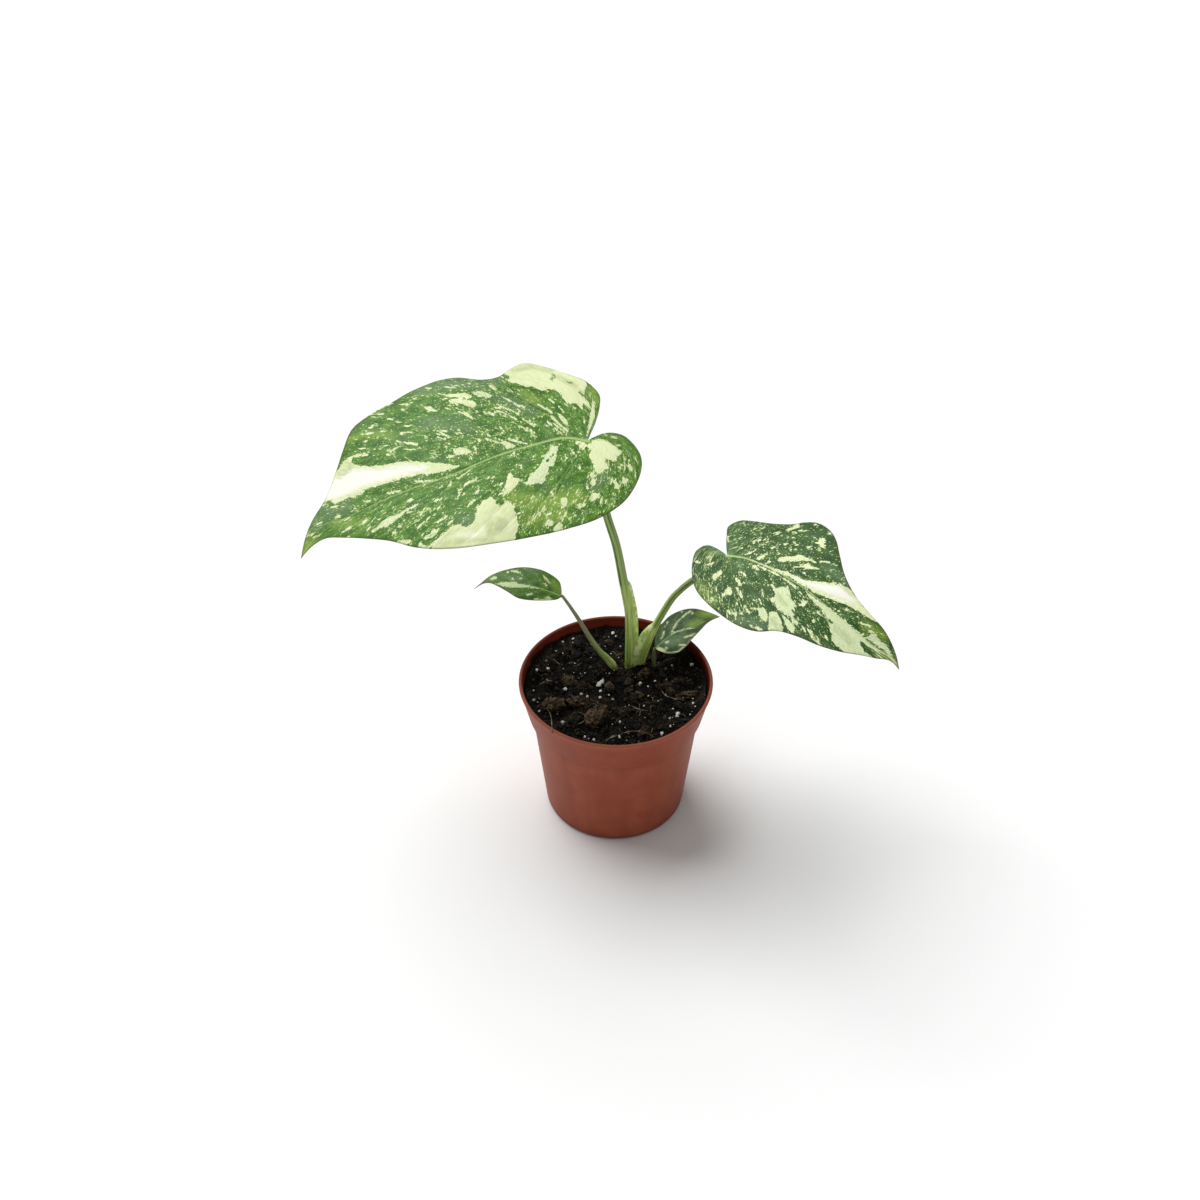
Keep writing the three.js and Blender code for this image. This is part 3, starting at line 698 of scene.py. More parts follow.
def crumbs():
    """Crumbs all over the bed, smaller in the pit beside the stems and darker there as painted
    shade.
    """
    random = Random(19)
    bm = bmesh.new()
    marks = bm.verts.layers.float.new("tint")
    for _ in range(CRUMB_COUNT):
        x, y = strewn(random, CRUMB_FIELD)
        in_pit = math.hypot(x - PIT_X, y - PIT_Y) < PIT_RADIUS
        length = random.uniform(1.0, 3.6) * (0.6 if in_pit else 1)
        size = (length, length * random.uniform(0.5, 0.9), length * random.uniform(0.4, 0.8))
        # Painted shade: crumbs in the pit get a darker tint.
        chip(bm, (x, y, crumbly(x, y) + 0.12 * length), size, random.uniform(0, 180),
             random.uniform(-0.6, 0.6), random, 2, CRUMB_ROUGHNESS, marks,
             (0, 0.1) if in_pit else (0, 0.4))
    return bm


add_piece(crumbs(), "peat_crumbs", BARK, "potting_mix", smooth=False)

# %% Perlite beads
BEAD_SPOTS = [
    (-9.9, 4.3, 1.9), (-8.1, 6.1, 1.5), (-29.9, -2.2, 1.25), (-40.4, 17.1, 1.1),
    (-47, 13.8, 0.95), (-32, 40, 0.9), (-25.8, 41.5, 0.9), (-22, 46, 0.75),
    (-1.5, 47, 1.0), (0.5, 44.4, 0.65), (45.9, 20.1, 1.3), (33.9, 20.4, 0.65),
    (23.3, 5.6, 0.7), (19.1, 2.1, 0.65), (5.3, -14.9, 0.7), (16.3, -16.2, 0.7),
    (35.1, -11.7, 0.7), (44.8, -14.2, 0.9), (45.1, -8.8, 0.7), (33.1, -18.3, 0.65),
    (31, -25.9, 0.7), (35.1, -25.5, 1.0), (2.2, -29, 0.9), (1.8, -42.1, 0.95),
    (-30.5, -31.3, 1.2), (-44.6, -21.3, 0.8), (-48, -11.2, 0.85), (-48.5, -1.4, 0.75),
    (-9.3, -10, 0.9), (-4, -5.5, 0.65), (-1.7, -9, 1.0), (-12.7, -42.9, 0.9),
    (31, -35, 0.75), (-18.3, 13.1, 0.5), (-25.6, 30.4, 0.65), (-36, 32, 0.65),
    (-2.6, 30.8, 0.5), (46, -17, 0.6), (43, -20.9, 0.5), (39.3, -8.5, 0.5)]
GRIT_COUNT = 90
GRIT_RADIUS = (0.22, 0.5)
PERLITE_ROUGHNESS = 0.12


def perlite_beads():
    """The listed beads, the CAD's beads and fine grit. Each sits a little proud."""
    random = Random(23)
    bm = bmesh.new()
    marks = bm.verts.layers.float.new("tint")
    spots = BEAD_SPOTS + [(x, y, 0.62 * radius) for x, y, radius in RULE_BEADS]
    for _ in range(GRIT_COUNT):
        spots.append((*strewn(random, OPEN_BED), random.uniform(*GRIT_RADIUS)))
    for x, y, radius in spots:
        size = 2 * radius
        spot = (x, y, crumbly(x, y) + 0.55 * radius)
        chip(bm, spot, (size, size * 0.95, size * 0.85), random.uniform(0, 180), 0, random,
             3 if radius > 0.8 else 2, PERLITE_ROUGHNESS, marks)
    return bm


add_piece(perlite_beads(), "perlite_beads", PERLITE, "potting_mix")

# %% [markdown]
# ## Tubes that follow a path
# Stalks and root fibres are both tubes along a curve. A Blender curve with a bevel
# is quick, but its section stays round, and a stalk's doesn't. So a flat grid is
# wrapped round the path instead: its columns go round, its rows go along, and the
# seam and the two ends are merged, which closes the tube.

# %% Wrap a grid round a path
ROUND_STEP = 0.1


def ways_along(centres):
    """The path's direction at each of its points."""
    ahead = np.gradient(centres, axis=0)
    return ahead / np.linalg.norm(ahead, axis=1)[:, None]


def tube(bm, centres, radius_at, side, around, round_mark=None):
    """A closed tube. radius_at(row, angle) gives the radius in millimetres. round_mark
    is a layer for the place round and along it, in ROUND_STEP to the millimetre."""
    rows = len(centres)
    along = ways_along(centres)
    walked = np.concatenate(([0], np.cumsum(np.linalg.norm(np.diff(centres, axis=0), axis=1))))
    grid = bmesh.ops.create_grid(bm, x_segments=around, y_segments=rows + 1, size=0.5)["verts"]
    for vert in grid:
        turn = 2 * math.pi * (vert.co.x + 0.5)
        station = round((vert.co.y + 0.5) * (rows + 1)) - 1
        row = min(max(station, 0), rows - 1)
        first = side - side.dot(Vector(along[row])) * Vector(along[row])
        first.normalize()
        second = Vector(along[row]).cross(first)
        reach = radius_at(row, turn) if station == row else 0.0
        spot = Vector(centres[row]) + first * reach * math.cos(turn)
        vert.co = (spot + second * reach * math.sin(turn)) * MM
        if round_mark:
            place = (math.cos(turn), math.sin(turn), walked[row] * ROUND_STEP)
            vert[round_mark] = Vector(place)
    bmesh.ops.remove_doubles(bm, verts=grid, dist=1e-6)


# %% [markdown]
# ## Root fibres
# Fine roots and bark fibres lie loose on the mix. One hangs over the rim at the
# front left, and a pale one bows along the front. They are thin tubes whose points
# rest on the bed or on the lip.

# %% Fibres
FIBRES = [
    ([(-41, -19, 88.5), (-38.6, -24.5, 90.2), (-37.2, -32, 92.6), (-36.5, -40.5, 94.3),
      (-36.4, -43.4, 94.2), (-36.3, -44.6, 92.6), (-36.4, -44.3, 88.5)], 0.26),
    ([(-6, -45.5, 88), (-1, -43.2, 88.6), (4, -41, 89), (10, -39.6, 89.3), (16, -40.4, 89),
      (21.6, -43.6, 88.6)], 0.24),
    ([(-6, -46.5, 88.2), (-3, -43.6, 88.4), (0, -41, 88)], 0.3),
    ([(27, -3, 86.5), (29, -8, 87.5), (33, -11, 88), (38, -12, 88)], 0.28),
    ([(-22, -22, 87.6), (-18, -26, 88.6), (-19, -31, 88.4), (-24, -33, 87.4)], 0.22),
    ([(8, -14, 85.6), (12, -19, 87.5), (18, -21, 87.6), (22, -18, 86.6)], 0.2),
    ([(-45, 2, 87), (-40, 4, 88), (-34, 3, 87.6)], 0.24)]
THREAD_COUNT = 34
THREAD_FIELD = 46
THREAD_JOINTS = 5
THREAD_STEP = 1.7
THREAD_BEND = 0.9


def fibres():
    """The listed fibres and short random threads, all thinner towards their ends."""
    random = Random(31)
    bm = bmesh.new()
    lines = [(smooth_curve(points, 8), radius) for points, radius in FIBRES]
    for _ in range(THREAD_COUNT):
        x, y = strewn(random, THREAD_FIELD)
        heading, points = random.uniform(0, 2 * math.pi), []
        for _ in range(THREAD_JOINTS):
            heading += random.uniform(-THREAD_BEND, THREAD_BEND)
            x, y = x + THREAD_STEP * math.cos(heading), y + THREAD_STEP * math.sin(heading)
            lift = 0.25 + random.uniform(0, 0.5)
            if math.hypot(x, y) < OPEN_BED:
                points.append((x, y, crumbly(x, y) + lift))
        if len(points) > 2:
            lines.append((smooth_curve(points, 4), random.uniform(0.1, 0.2)))
    for centres, radius in lines:
        count = len(centres)
        tube(bm, centres, lambda row, turn: radius * (1 - 0.6 * abs(2 * row / count - 1) ** 3),
             Vector((0.1, 0.2, 1)), 6)
    bmesh.ops.recalc_face_normals(bm, faces=bm.faces)
    return bm


def fibre_finish():
    f = Finish("dry_root_fibre")
    place = f.place()
    bands = f.clouds(place, 300, 3)
    color = f.mix(bands.between(0.35, 0.65), tone(78, 58, 44), tone(176, 158, 132))
    return f.finished(color, bands * 0.2 + 0.6, f.bump(bands, 0.0002))


add_piece(fibres(), "root_fibres", fibre_finish(), "potting_mix")

# %% [markdown]
# ## How a leaf is laid out
# A blade can be drawn flat: along runs from the stalk to the tip, across is
# measured from it to the left. The flat net follows the side veins from the
# midrib to the margin. Their roots crowd together near the stalk, so that the veins
# lean towards the tip. One formula bends the net into its hanging pose. The CAD
# uses the same formula, so the fine blade lies exactly on the plain solid.

# %% The bending formula
MIDRIB_STATIONS = 64
SPLINE_STEPS = 10
DIP_CURVE = 1.3


class LeafForm:
    """A leaf's pose. Lengths are in millimetres and angles in degrees."""

    def __init__(self, **pose):
        self.__dict__.update(pose)
        turn = math.radians(self.heading)
        self.ahead = np.array([math.cos(turn), math.sin(turn), 0])
        self.aside = np.array([-math.sin(turn), math.cos(turn), 0])
        middle = (np.arange(MIDRIB_STATIONS) + 0.5) / MIDRIB_STATIONS
        steps = self.direction(middle) * self.length / MIDRIB_STATIONS
        self.stations = np.vstack([self.base, self.base + np.cumsum(steps, axis=0)])
        self.rib_line = smooth_curve(self.midrib, SPLINE_STEPS)

    def dip(self, u):
        """How steeply the midrib falls at this share of its length."""
        share = np.maximum(u, 0) ** DIP_CURVE
        return np.radians(self.dip_start + (self.dip_end - self.dip_start) * share)

    def direction(self, u):
        """Which way the midrib runs there."""
        dip = self.dip(np.asarray(u, float))[..., None]
        return self.ahead * np.cos(dip) - np.array([0, 0, 1]) * np.sin(dip)

    def rib(self, along):
        """How far across the midrib lies."""
        return np.interp(along, self.rib_line[:, 0], self.rib_line[:, 1])

    def place(self, along, across):
        """Points of the blade's middle surface, one row each."""
        u = np.clip(along / self.length, 0, 1)
        step = np.minimum((u * MIDRIB_STATIONS).astype(int), MIDRIB_STATIONS - 1)
        part = (u * MIDRIB_STATIONS - step)[:, None]
        spot = self.stations[step] * (1 - part) + self.stations[step + 1] * part
        spot = spot + self.direction(u) * (along - u * self.length)[:, None]
        dip, roll = self.dip(u)[:, None], math.radians(self.roll)
        flat = self.ahead * np.sin(dip) + np.array([0, 0, 1]) * np.cos(dip)
        side = self.aside * math.cos(roll) + flat * math.sin(roll)
        up = flat * math.cos(roll) - self.aside * math.sin(roll)
        rib = self.rib(along)
        reach, left = np.abs(across - rib), across >= rib
        bend = np.radians(np.where(left, self.droop_left, self.droop_right)) / self.half_width
        rise = math.radians(self.fold)
        out = (math.sin(rise) - np.sin(rise - bend * reach)) / bend
        lift = (np.cos(rise - bend * reach) - math.cos(rise)) / bend
        waves = zip(self.wave_left, self.wave_right)
        height, cycles, phase = [np.where(left, *pair) for pair in waves]
        ripple = np.sin(2 * math.pi * (cycles * along / self.length + phase))
        lift = lift + height * ripple * (reach / self.half_width) ** 2
        lift = lift - self.lobe_drop * (np.maximum(-along, 0) / 20) ** 2
        return spot + side * (rib + np.where(left, out, -out))[:, None] + up * lift[:, None]

    def normal(self, along, across):
        """Which way the blade's upper side faces, from two short steps over it."""
        step = 0.5
        a = self.place(along + step, across) - self.place(along - step, across)
        b = self.place(along, across + step) - self.place(along, across - step)
        upright = np.cross(a, b)
        return upright / np.linalg.norm(upright, axis=1)[:, None]


# %% Poses and outlines of the four leaves
LARGE_LEFT = LeafForm(
    base=(-16, 30, 240), heading=198, length=170, dip_start=-4, dip_end=39, roll=-14, fold=5,
    droop_left=20, droop_right=8, half_width=60, lobe_drop=2,
    wave_left=(1.8, 2.2, 0.1), wave_right=(2.2, 2.6, 0.55), rib_depth=1.2,
    lobe_rows=96, blade_rows=196, columns=80, side_veins=(4, 10),
    left_vein_start=0.48, right_vein_start=0.41,
    midrib=[(-5, 0), (0, 0), (12, -4), (30, -2.5), (50, -0.5), (75, 3), (100, 1.5), (125, -1),
            (147, -4), (160, -4), (170, 0)],
    left_margin=[(0, 0), (-10, -4), (-18, -4), (-24, 0), (-27, 12), (-23, 25), (-13, 39),
                 (-2, 48), (12, 53.5), (28, 55), (48, 54), (68, 53), (84, 50.5), (98, 45),
                 (110, 37), (121, 26), (132, 17), (143, 8), (152, 1), (161, -1), (170, 0)],
    right_margin=[(0, 0), (-8, -12), (-14, -24), (-16, -33), (-11, -43), (-3, -50), (7, -59),
                  (17, -65), (26, -61), (35, -54.5), (45, -54.5), (56, -61), (68, -65.5),
                  (80, -65.5), (93, -60), (107, -55.5), (116, -52), (124, -43), (132, -33),
                  (143, -21.5), (155, -14.5), (163, -8), (170, 0)])

LARGE_RIGHT = LeafForm(
    base=(62, 15, 173), heading=-38, length=118, dip_start=-7, dip_end=36, roll=12, fold=6,
    droop_left=12, droop_right=18, half_width=45, lobe_drop=2,
    wave_left=(1.8, 2, 0.3), wave_right=(1.2, 1.6, 0), rib_depth=1.2,
    lobe_rows=84, blade_rows=170, columns=72, side_veins=(4, 9),
    left_vein_start=0.37, right_vein_start=0.50,
    midrib=[(-5, 0), (0, 0), (12, 2.5), (35, 2), (56, 0), (75, -2.5), (92, -3), (106, 0),
            (112, 1.5), (118, 0)],
    left_margin=[(0, 0), (-5, 7), (-9, 13.5), (-12, 20), (-8, 26), (0, 28.5), (10, 31.5),
                 (19, 36.5), (24, 42), (30, 46), (38, 44.5), (46, 39), (54, 30), (63, 21),
                 (74, 14.5), (85, 11.5), (98, 9.5), (110, 5), (118, 0)],
    right_margin=[(0, 0), (-10, 3), (-17, 3), (-20, -2), (-17, -10), (-10, -21), (-1, -30),
                  (10, -35.5), (22, -39), (34, -40), (45, -37.5), (55, -31), (66, -27.5),
                  (78, -24.5), (89, -19), (98, -12), (105, -6.5), (111, -1), (118, 0)])

SMALL_LEFT = LeafForm(
    base=(-32, 30, 131), heading=168, length=56, dip_start=-23, dip_end=38, roll=-6, fold=8,
    droop_left=15, droop_right=15, half_width=14, lobe_drop=0,
    wave_left=(0.6, 1.5, 0.2), wave_right=(0.6, 1.5, 0.6), rib_depth=0.6,
    lobe_rows=16, blade_rows=100, columns=24, side_veins=(1, 7),
    left_vein_start=0.12, right_vein_start=0.14,
    midrib=[(-2, 0), (0, 0), (14, 0.5), (28, 1), (40, -1), (49, -2.5), (56, 0)],
    left_margin=[(0, 0), (2, 4), (8, 8.5), (16, 11.5), (24, 12), (31, 8.5), (38, 4), (44, 0),
                 (50, -1.5), (56, 0)],
    right_margin=[(0, 0), (1.5, -5), (5, -11), (13, -14), (22, -13.5), (31, -12), (39, -9.5),
                  (46, -6.5), (51, -3), (56, 0)])

SMALL_RIGHT = LeafForm(
    base=(24, 23, 96.5), heading=25, length=45, dip_start=-30, dip_end=10, roll=-2, fold=8,
    droop_left=15, droop_right=15, half_width=16, lobe_drop=0,
    wave_left=(0.6, 1.5, 0.2), wave_right=(0.6, 1.5, 0.7), rib_depth=0.6,
    lobe_rows=20, blade_rows=90, columns=28, side_veins=(1, 6),
    left_vein_start=0.18, right_vein_start=0.2,
    midrib=[(-2, 0), (0, 0), (10, 1.5), (18, 1), (27, -1.5), (36, -1), (45, 0)],
    left_margin=[(0, 0), (2.5, 5.5), (7, 10.5), (13, 14), (20, 16.5), (28, 15), (35, 11.5),
                 (40, 6), (45, 0)],
    right_margin=[(0, 0), (1, -4), (4, -9.5), (9, -13.5), (15, -13.5), (21, -10.5), (28, -7),
                  (36, -2.5), (45, 0)])

for form in (LARGE_LEFT, LARGE_RIGHT, SMALL_LEFT, SMALL_RIGHT):
    print("a blade", form.length, "mm long starts at", form.base)

# %% [markdown]
# ## Where the blades are cream
# The cream comes from cells without green in them, which grow in streaks along
# the side veins. The marks were read off the plant, point by point, and are
# given on the flat leaf in millimetres. A row in square brackets is the outline of a
# patch: along and across of each corner. A row in round brackets is a streak: its
# radius, unless that is half a millimetre, then along and across of each point. How
# deep a place lies in the nearest mark becomes an attribute, and the shader frays
# the edge. Specks too small to draw are left to it.

# %% Marks on the large left leaf
LARGE_LEFT_MARKS = {
    "core": [
        [128.5, -30, 123.5, -28.5, 118.5, -25.5, 110, -19.5, 100, -15.5, 88, -9, 86, -6.5,
         89, -5.5, 102, -9, 110.5, -10.5, 121, -13.5, 130, -14.5, 138.5, -17, 143, -21.5,
         145, -25, 134.5, -29],
        (0.8, 72, 44, 78, 45.5, 85, 42.5), (0.6, 78.5, 40, 80, 50)],
    "cream": [
        [70, -0.5, 80, -6.5, 88, -11, 94, -15.5, 100, -18, 107.5, -20, 114.5, -24,
         118.5, -27, 122, -32, 121, -35, 124, -37, 127.5, -35, 131, -33.5, 136, -32,
         148, -25, 144.5, -19.5, 141.5, -19, 139.5, -14.5, 135.5, -13.5, 131.5, -13,
         129, -10, 127.5, -11.5, 122.5, -10, 121.5, -11.5, 117, -10, 110.5, -8.5, 107, -8,
         103, -6.5, 101.5, -7.5, 96, -5, 93, -5, 86, -2, 79, -0.5, 73, -0.5],
        [31.5, -55.5, 29, -54, 30.5, -51, 30, -49, 26.5, -47.5, 24.5, -46, 22, -44, 19, -44,
         17.5, -42, 15, -40, 13, -39.5, 11.5, -41, 9.5, -40.5, 7.5, -38.5, 6, -36, 5, -33.5,
         5, -30, 4, -27, 0.5, -27, -2, -26.5, -2.5, -23.5, -3.5, -22.5, -5, -26, -6, -25,
         -7, -21.5, -8, -22, -8.5, -26.5, -7, -29.5, -7.5, -33.5, -10, -37.5, -11.5, -41.5,
         -7, -49.5, -0.5, -57, 6, -64.5, 13.5, -68.5, 22.5, -66.5, 29.5, -60],
        [-11, -30, -11.5, -25.5, -8.5, -15.5, -4.5, -9, -1.5, -4.5, 0, -2.5, -3, -9.5,
         -6.5, -17.5, -9, -24],
        [-2.5, 0, -6, -0.5, -9, 0.5, -12, 3, -14, 6.5, -15, 9, -17, 9.5, -15.5, 12.5,
         -12.5, 14, -11.5, 17, -9, 17.5, -8, 16, -5.5, 15.5, -5, 18, -5.5, 21.5, -4.5, 23,
         -2.5, 23, -0.5, 25.5, 2, 25, 3, 22, 2.5, 17, 3, 13, 2, 9.5, 0.5, 8, 0.5, 6, 2.5, 5,
         4.5, 8.5, 5.5, 5, 6, 3.5, 8, 1.5, 6, -0.5, 3, 0.5, 1, 3.5, -1.5, 2],
        [5.5, 23, 4, 24, 3, 26, 4.5, 28.5, 4.5, 31.5, 6.5, 32.5, 7.5, 31, 6, 28],
        [8, 36, 7, 37, 4.5, 38, 5.5, 42, 7, 41, 8.5, 42, 11, 42, 11, 40],
        [19, 42, 17, 42.5, 14, 43, 14, 44.5, 16, 44, 17.5, 45.5, 19, 44.5],
        [-16, 20, -18.5, 20, -19, 22, -18, 25.5, -17, 24, -16, 22],
        [-11.5, 27, -13, 29, -14.5, 30, -13.5, 32, -10.5, 33.5, -9.5, 32, -10.5, 29.5],
        [-2.5, 28.5, -4.5, 29.5, -6.5, 30.5, -7.5, 32.5, -8, 34.5, -6.5, 36.5, -4, 35.5,
         -5.5, 34, -4, 31],
        [62.5, 25.5, 60, 25, 60.5, 26.5, 60.5, 30, 59, 32.5, 56.5, 31, 55, 27, 54.5, 30,
         53, 32, 52, 35, 52, 37.5, 52.5, 41, 52.5, 44.5, 53, 47, 55.5, 50, 57.5, 53.5,
         68, 56.5, 78, 55.5, 88.5, 52, 96, 48.5, 103, 43, 100.5, 41.5, 101, 40, 98, 39.5,
         95.5, 39, 96.5, 37, 93.5, 37.5, 90.5, 37, 88, 35.5, 85, 35, 82, 36.5, 80.5, 39.5,
         76.5, 38.5, 74, 36, 73, 33, 71, 30.5, 69, 28.5, 66.5, 26.5],
        [47, 12, 47, 16, 45.5, 18, 43.5, 19, 44.5, 21, 47, 23, 49, 25, 52, 26.5, 54.5, 27,
         55.5, 25.5, 53, 23, 52, 20, 50, 17, 48.5, 14],
        [107, 36, 104.5, 39, 101.5, 41.5, 105.5, 43, 108.5, 39],
        [117.5, 28.5, 114, 29.5, 111, 31.5, 109.5, 33, 111.5, 33.5, 115, 33.5, 118, 31.5],
        [66.5, -54, 63.5, -52, 55.5, -48.5, 52, -46.5, 51.5, -44, 53.5, -43, 57.5, -45,
         64, -50],
        [64, -47, 60.5, -46.5, 57, -44, 53.5, -41.5, 51.5, -40.5, 50.5, -37, 53.5, -35.5,
         58.5, -41, 63, -43.5],
        [77.5, -51, 75, -48.5, 73.5, -49, 73, -45.5, 71, -43, 72, -42.5, 75.5, -45.5,
         76.5, -47.5],
        [50, -32, 48.5, -32.5, 46.5, -30, 43.5, -28.5, 44.5, -26.5, 46.5, -28, 49, -29.5],
        [71.5, -13, 69, -12.5, 66.5, -12, 64, -10, 61, -6, 65.5, -7.5, 69.5, -7, 71, -9.5],
        [46, -10, 43.5, -8.5, 41.5, -7, 39.5, -4.5, 41.5, -3, 44, -3.5, 45.5, -6],
        [11.5, -22, 9.5, -21, 8.5, -17.5, 7, -14, 8, -11, 10, -14.5, 11, -18.5],
        [97.5, -2, 96, -3, 91, 0, 85, 2.5, 88, 2.5, 92, 1.5],
        [104.5, 9.5, 103, 8, 101, 8, 99.5, 10, 102, 10],
        [77.5, 14.5, 74, 15, 76, 17, 77.5, 18],
        [75, 27, 73.5, 25.5, 72, 24, 70, 24, 70.5, 26, 73, 27],
        [25.5, 36.5, 23.5, 36.5, 22.5, 38.5, 23.5, 41, 25.5, 43, 27.5, 43.5, 27, 40],
        [38.5, 49, 37, 47, 35.5, 46.5, 34.5, 48.5, 34, 50.5, 36, 51.5, 38, 50.5],
        [35.5, 53.5, 33, 51.5, 30.5, 50.5, 29, 52, 30.5, 55, 34.5, 55.5],
        [26.5, 50.5, 24, 48, 23, 49.5, 24.5, 51.5],
        (0.8, 99, -58.5, 95, -59.5, 91.5, -60), (106, -56, 99, -58.5),
        (72.5, -63.5, 69.5, -61), (0.6, 82, -58.5, 79, -58, 78, -55.5),
        (0.6, 87, -57, 83.5, -55), (89, -53, 87, -52), (102, -55.5, 97.5, -53.5),
        (0.7, 93, -45.5, 90.5, -43.5), (96, -49, 94, -47.5), (104.5, -48.5, 102.5, -48),
        (107.5, -48, 105.5, -47.5), (90, -40, 87.5, -39), (0.6, 102, -42, 99, -40.5),
        (110, -44.5, 105.5, -43.5), (0.6, 93, -36, 87.5, -33.5), (113, -40.5, 110.5, -40),
        (105, -39, 102.5, -38.5), (100.5, -36.5, 99.5, -34.5), (115, -37.5, 111.5, -35.5),
        (0.6, 105, -32.5, 102, -31.5), (0.7, 102.5, -28.5, 101, -26.5, 98.5, -27),
        (98, -28, 95, -26.5), (95.5, -29.5, 93, -28.5), (0.8, 91.5, -27, 88, -24.5),
        (0.6, 94, -23.5, 89.5, -21.5), (103.5, -25.5, 101, -24), (85, -33.5, 84, -31.5),
        (82, -28, 81.5, -25.5), (0.8, 122, -35.5, 119, -35, 116, -33.5),
        (0.6, 116, -32.5, 113.5, -31.5), (82.5, -15, 81, -13), (82.5, -12, 80.5, -11),
        (76, -26.5, 74.5, -25), (0.6, 63, -57.5, 58.5, -54),
        (0.8, 41, -48.5, 39.5, -48, 39, -45), (0.6, 61, -36.5, 58, -33, 55.5, -28.5),
        (43.5, -30, 40, -28.5, 37.5, -26, 34, -21.5),
        (0.6, 39, -32.5, 33.5, -27, 31.5, -24.5), (36, -37.5, 33, -34.5, 29.5, -30),
        (75.5, -28.5, 70.5, -26), (0.6, 75.5, -26.5, 73, -24, 70, -22),
        (76.5, -24, 72.5, -21), (65.5, -23, 63.5, -20.5), (0.6, 54.5, -19, 50, -14),
        (59, -16, 55.5, -13), (0.6, 52.5, -13, 46.5, -8), (46, -18.5, 44, -17, 43, -14.5),
        (0.8, 75.5, -10, 74, -8.5, 72.5, -8.5), (0.8, 41, -9, 38, -7, 33.5, -4),
        (51, -54, 50.5, -53), (0.7, 19.5, -29.5, 17.5, -27, 15.5, -25, 14, -22.5),
        (12.5, -32.5, 11, -30), (9, -26, 7.5, -21.5),
        (0.8, 15, -20, 13.5, -16, 11, -12, 9.5, -8.5), (15, -14.5, 10.5, -7.5),
        (18, -16, 13, -7), (0.7, 33.5, -16.5, 32, -15, 30.5, -12.5), (31.5, -23, 26, -15),
        (0.8, 1.5, -23.5, 0.5, -23.5), (-2, -16.5, -2.5, -14.5, -1.5, -12.5),
        (0.6, 32.5, -43, 30.5, -42), (29, -10, 27, -7), (0.7, 111, -2.5, 105.5, 0),
        (0.6, 124, -4.5, 121.5, -3.5), (0.6, 142.5, -14, 138, -12),
        (146, -18.5, 143, -16.5), (133, -4.5, 130, -2.5), (0.6, 138.5, -1.5, 135.5, -1),
        (0.8, 142.5, 4.5, 140, 5, 137.5, 5), (142, -7, 140, -6),
        (153.5, -10.5, 150.5, -9.5), (159, -7, 155.5, -7), (158, -5, 154, -3.5),
        (141.5, 8.5, 139, 10.5), (130, 6.5, 128, 6), (122, 10.5, 120.5, 11),
        (119.5, 20.5, 118, 20.5), (117, 23, 114.5, 23.5), (114.5, 20.5, 112.5, 21),
        (105.5, 30, 104.5, 28), (103.5, 27.5, 101.5, 26.5), (105, 23.5, 102, 23.5),
        (0.6, 106, 16, 103.5, 16.5), (86, 9.5, 84, 8.5), (80.5, 5, 77, 3),
        (80.5, 10, 78, 8), (75, 7, 67, 4.5), (0.6, 73.5, 14, 71, 12.5, 67.5, 12.5),
        (0.6, 69, 21, 66.5, 19.5), (58, 14, 56.5, 13.5), (0.6, 60.5, 21.5, 60.5, 23.5),
        (90.5, 16.5, 88.5, 16), (0.7, 93.5, 29.5, 90.5, 29.5, 87, 28.5),
        (92.5, 32, 90.5, 31), (0.6, 88.5, 33.5, 85, 32.5), (100, 21, 96.5, 19),
        (80.5, 26.5, 79.5, 27), (59, 26, 56, 25.5), (55.5, 20.5, 53.5, 18.5),
        (0.8, 29.5, 31.5, 29.5, 34), (0.7, 36.5, 44.5, 34, 44), (0.6, 39.5, 42, 40, 44),
        (51.5, 39, 49.5, 40), (43.5, 2, 40.5, 0), (42, 3, 39, 2), (32, 6, 32, 6.5),
        (40.5, 10.5, 41, 14), (15.5, 8.5, 15.5, 11.5), (11.5, 5, 10.5, 9), (8, 8, 7, 8.5),
        (10, 17, 10.5, 20), (9.5, 30.5, 10, 34), (-16, 16, -18.5, 17),
        (-11, 21.5, -11.5, 22.5), (-13, 20, -14.5, 21), (0.7, -14, -1, -16.5, -0.5),
        (-10.5, -3.5, -11.5, -2), (-15, 5.5, -17, 5.5), (0, 44, -2.5, 41.5),
        (-0.5, 46, -1, 47.5), (2, 43, 2, 43.5), (-5, 41.5, -6, 43),
        (-22.5, 14.5, -23, 18.5)],
    "pale": [
        [21.5, 1, 20, 0.5, 19, 2, 17, 1.5, 17.5, 3.5, 19.5, 7, 21, 10.5, 23, 14, 24, 15.5,
         25.5, 14.5, 27, 17, 28.5, 19.5, 30, 22, 31.5, 24.5, 32.5, 25.5, 35, 24.5, 38, 24.5,
         40, 24.5, 42.5, 23, 43, 21.5, 40.5, 21.5, 38.5, 19.5, 37.5, 17.5, 35, 16.5,
         32.5, 15, 30, 13, 28.5, 11, 27, 8.5, 27.5, 6.5, 25, 6, 23, 4],
        [98, 13, 99.5, 14.5, 103, 14.5, 107.5, 15, 109.5, 16.5, 112.5, 16.5, 115.5, 17.5,
         118.5, 17.5, 122.5, 16.5, 125, 16.5, 128, 15.5, 128, 14, 125.5, 14.5, 123, 14.5,
         120.5, 13, 117.5, 13, 115.5, 12, 112, 13.5, 109, 14, 105, 13.5, 101.5, 13],
        [105, 34, 101, 34, 98.5, 35, 97, 32, 96, 33.5, 97.5, 36.5, 99.5, 37, 102.5, 36.5],
        [51, -47.5, 47, -45.5, 43.5, -44, 42, -42.5, 42, -40.5, 44, -39, 46, -41.5,
         50.5, -44.5]],
    "hole": [
        (0.6, -1, -43.5, -3, -42.5), (7, -48.5, 5, -51.5), (6.5, -47, 4.5, -50),
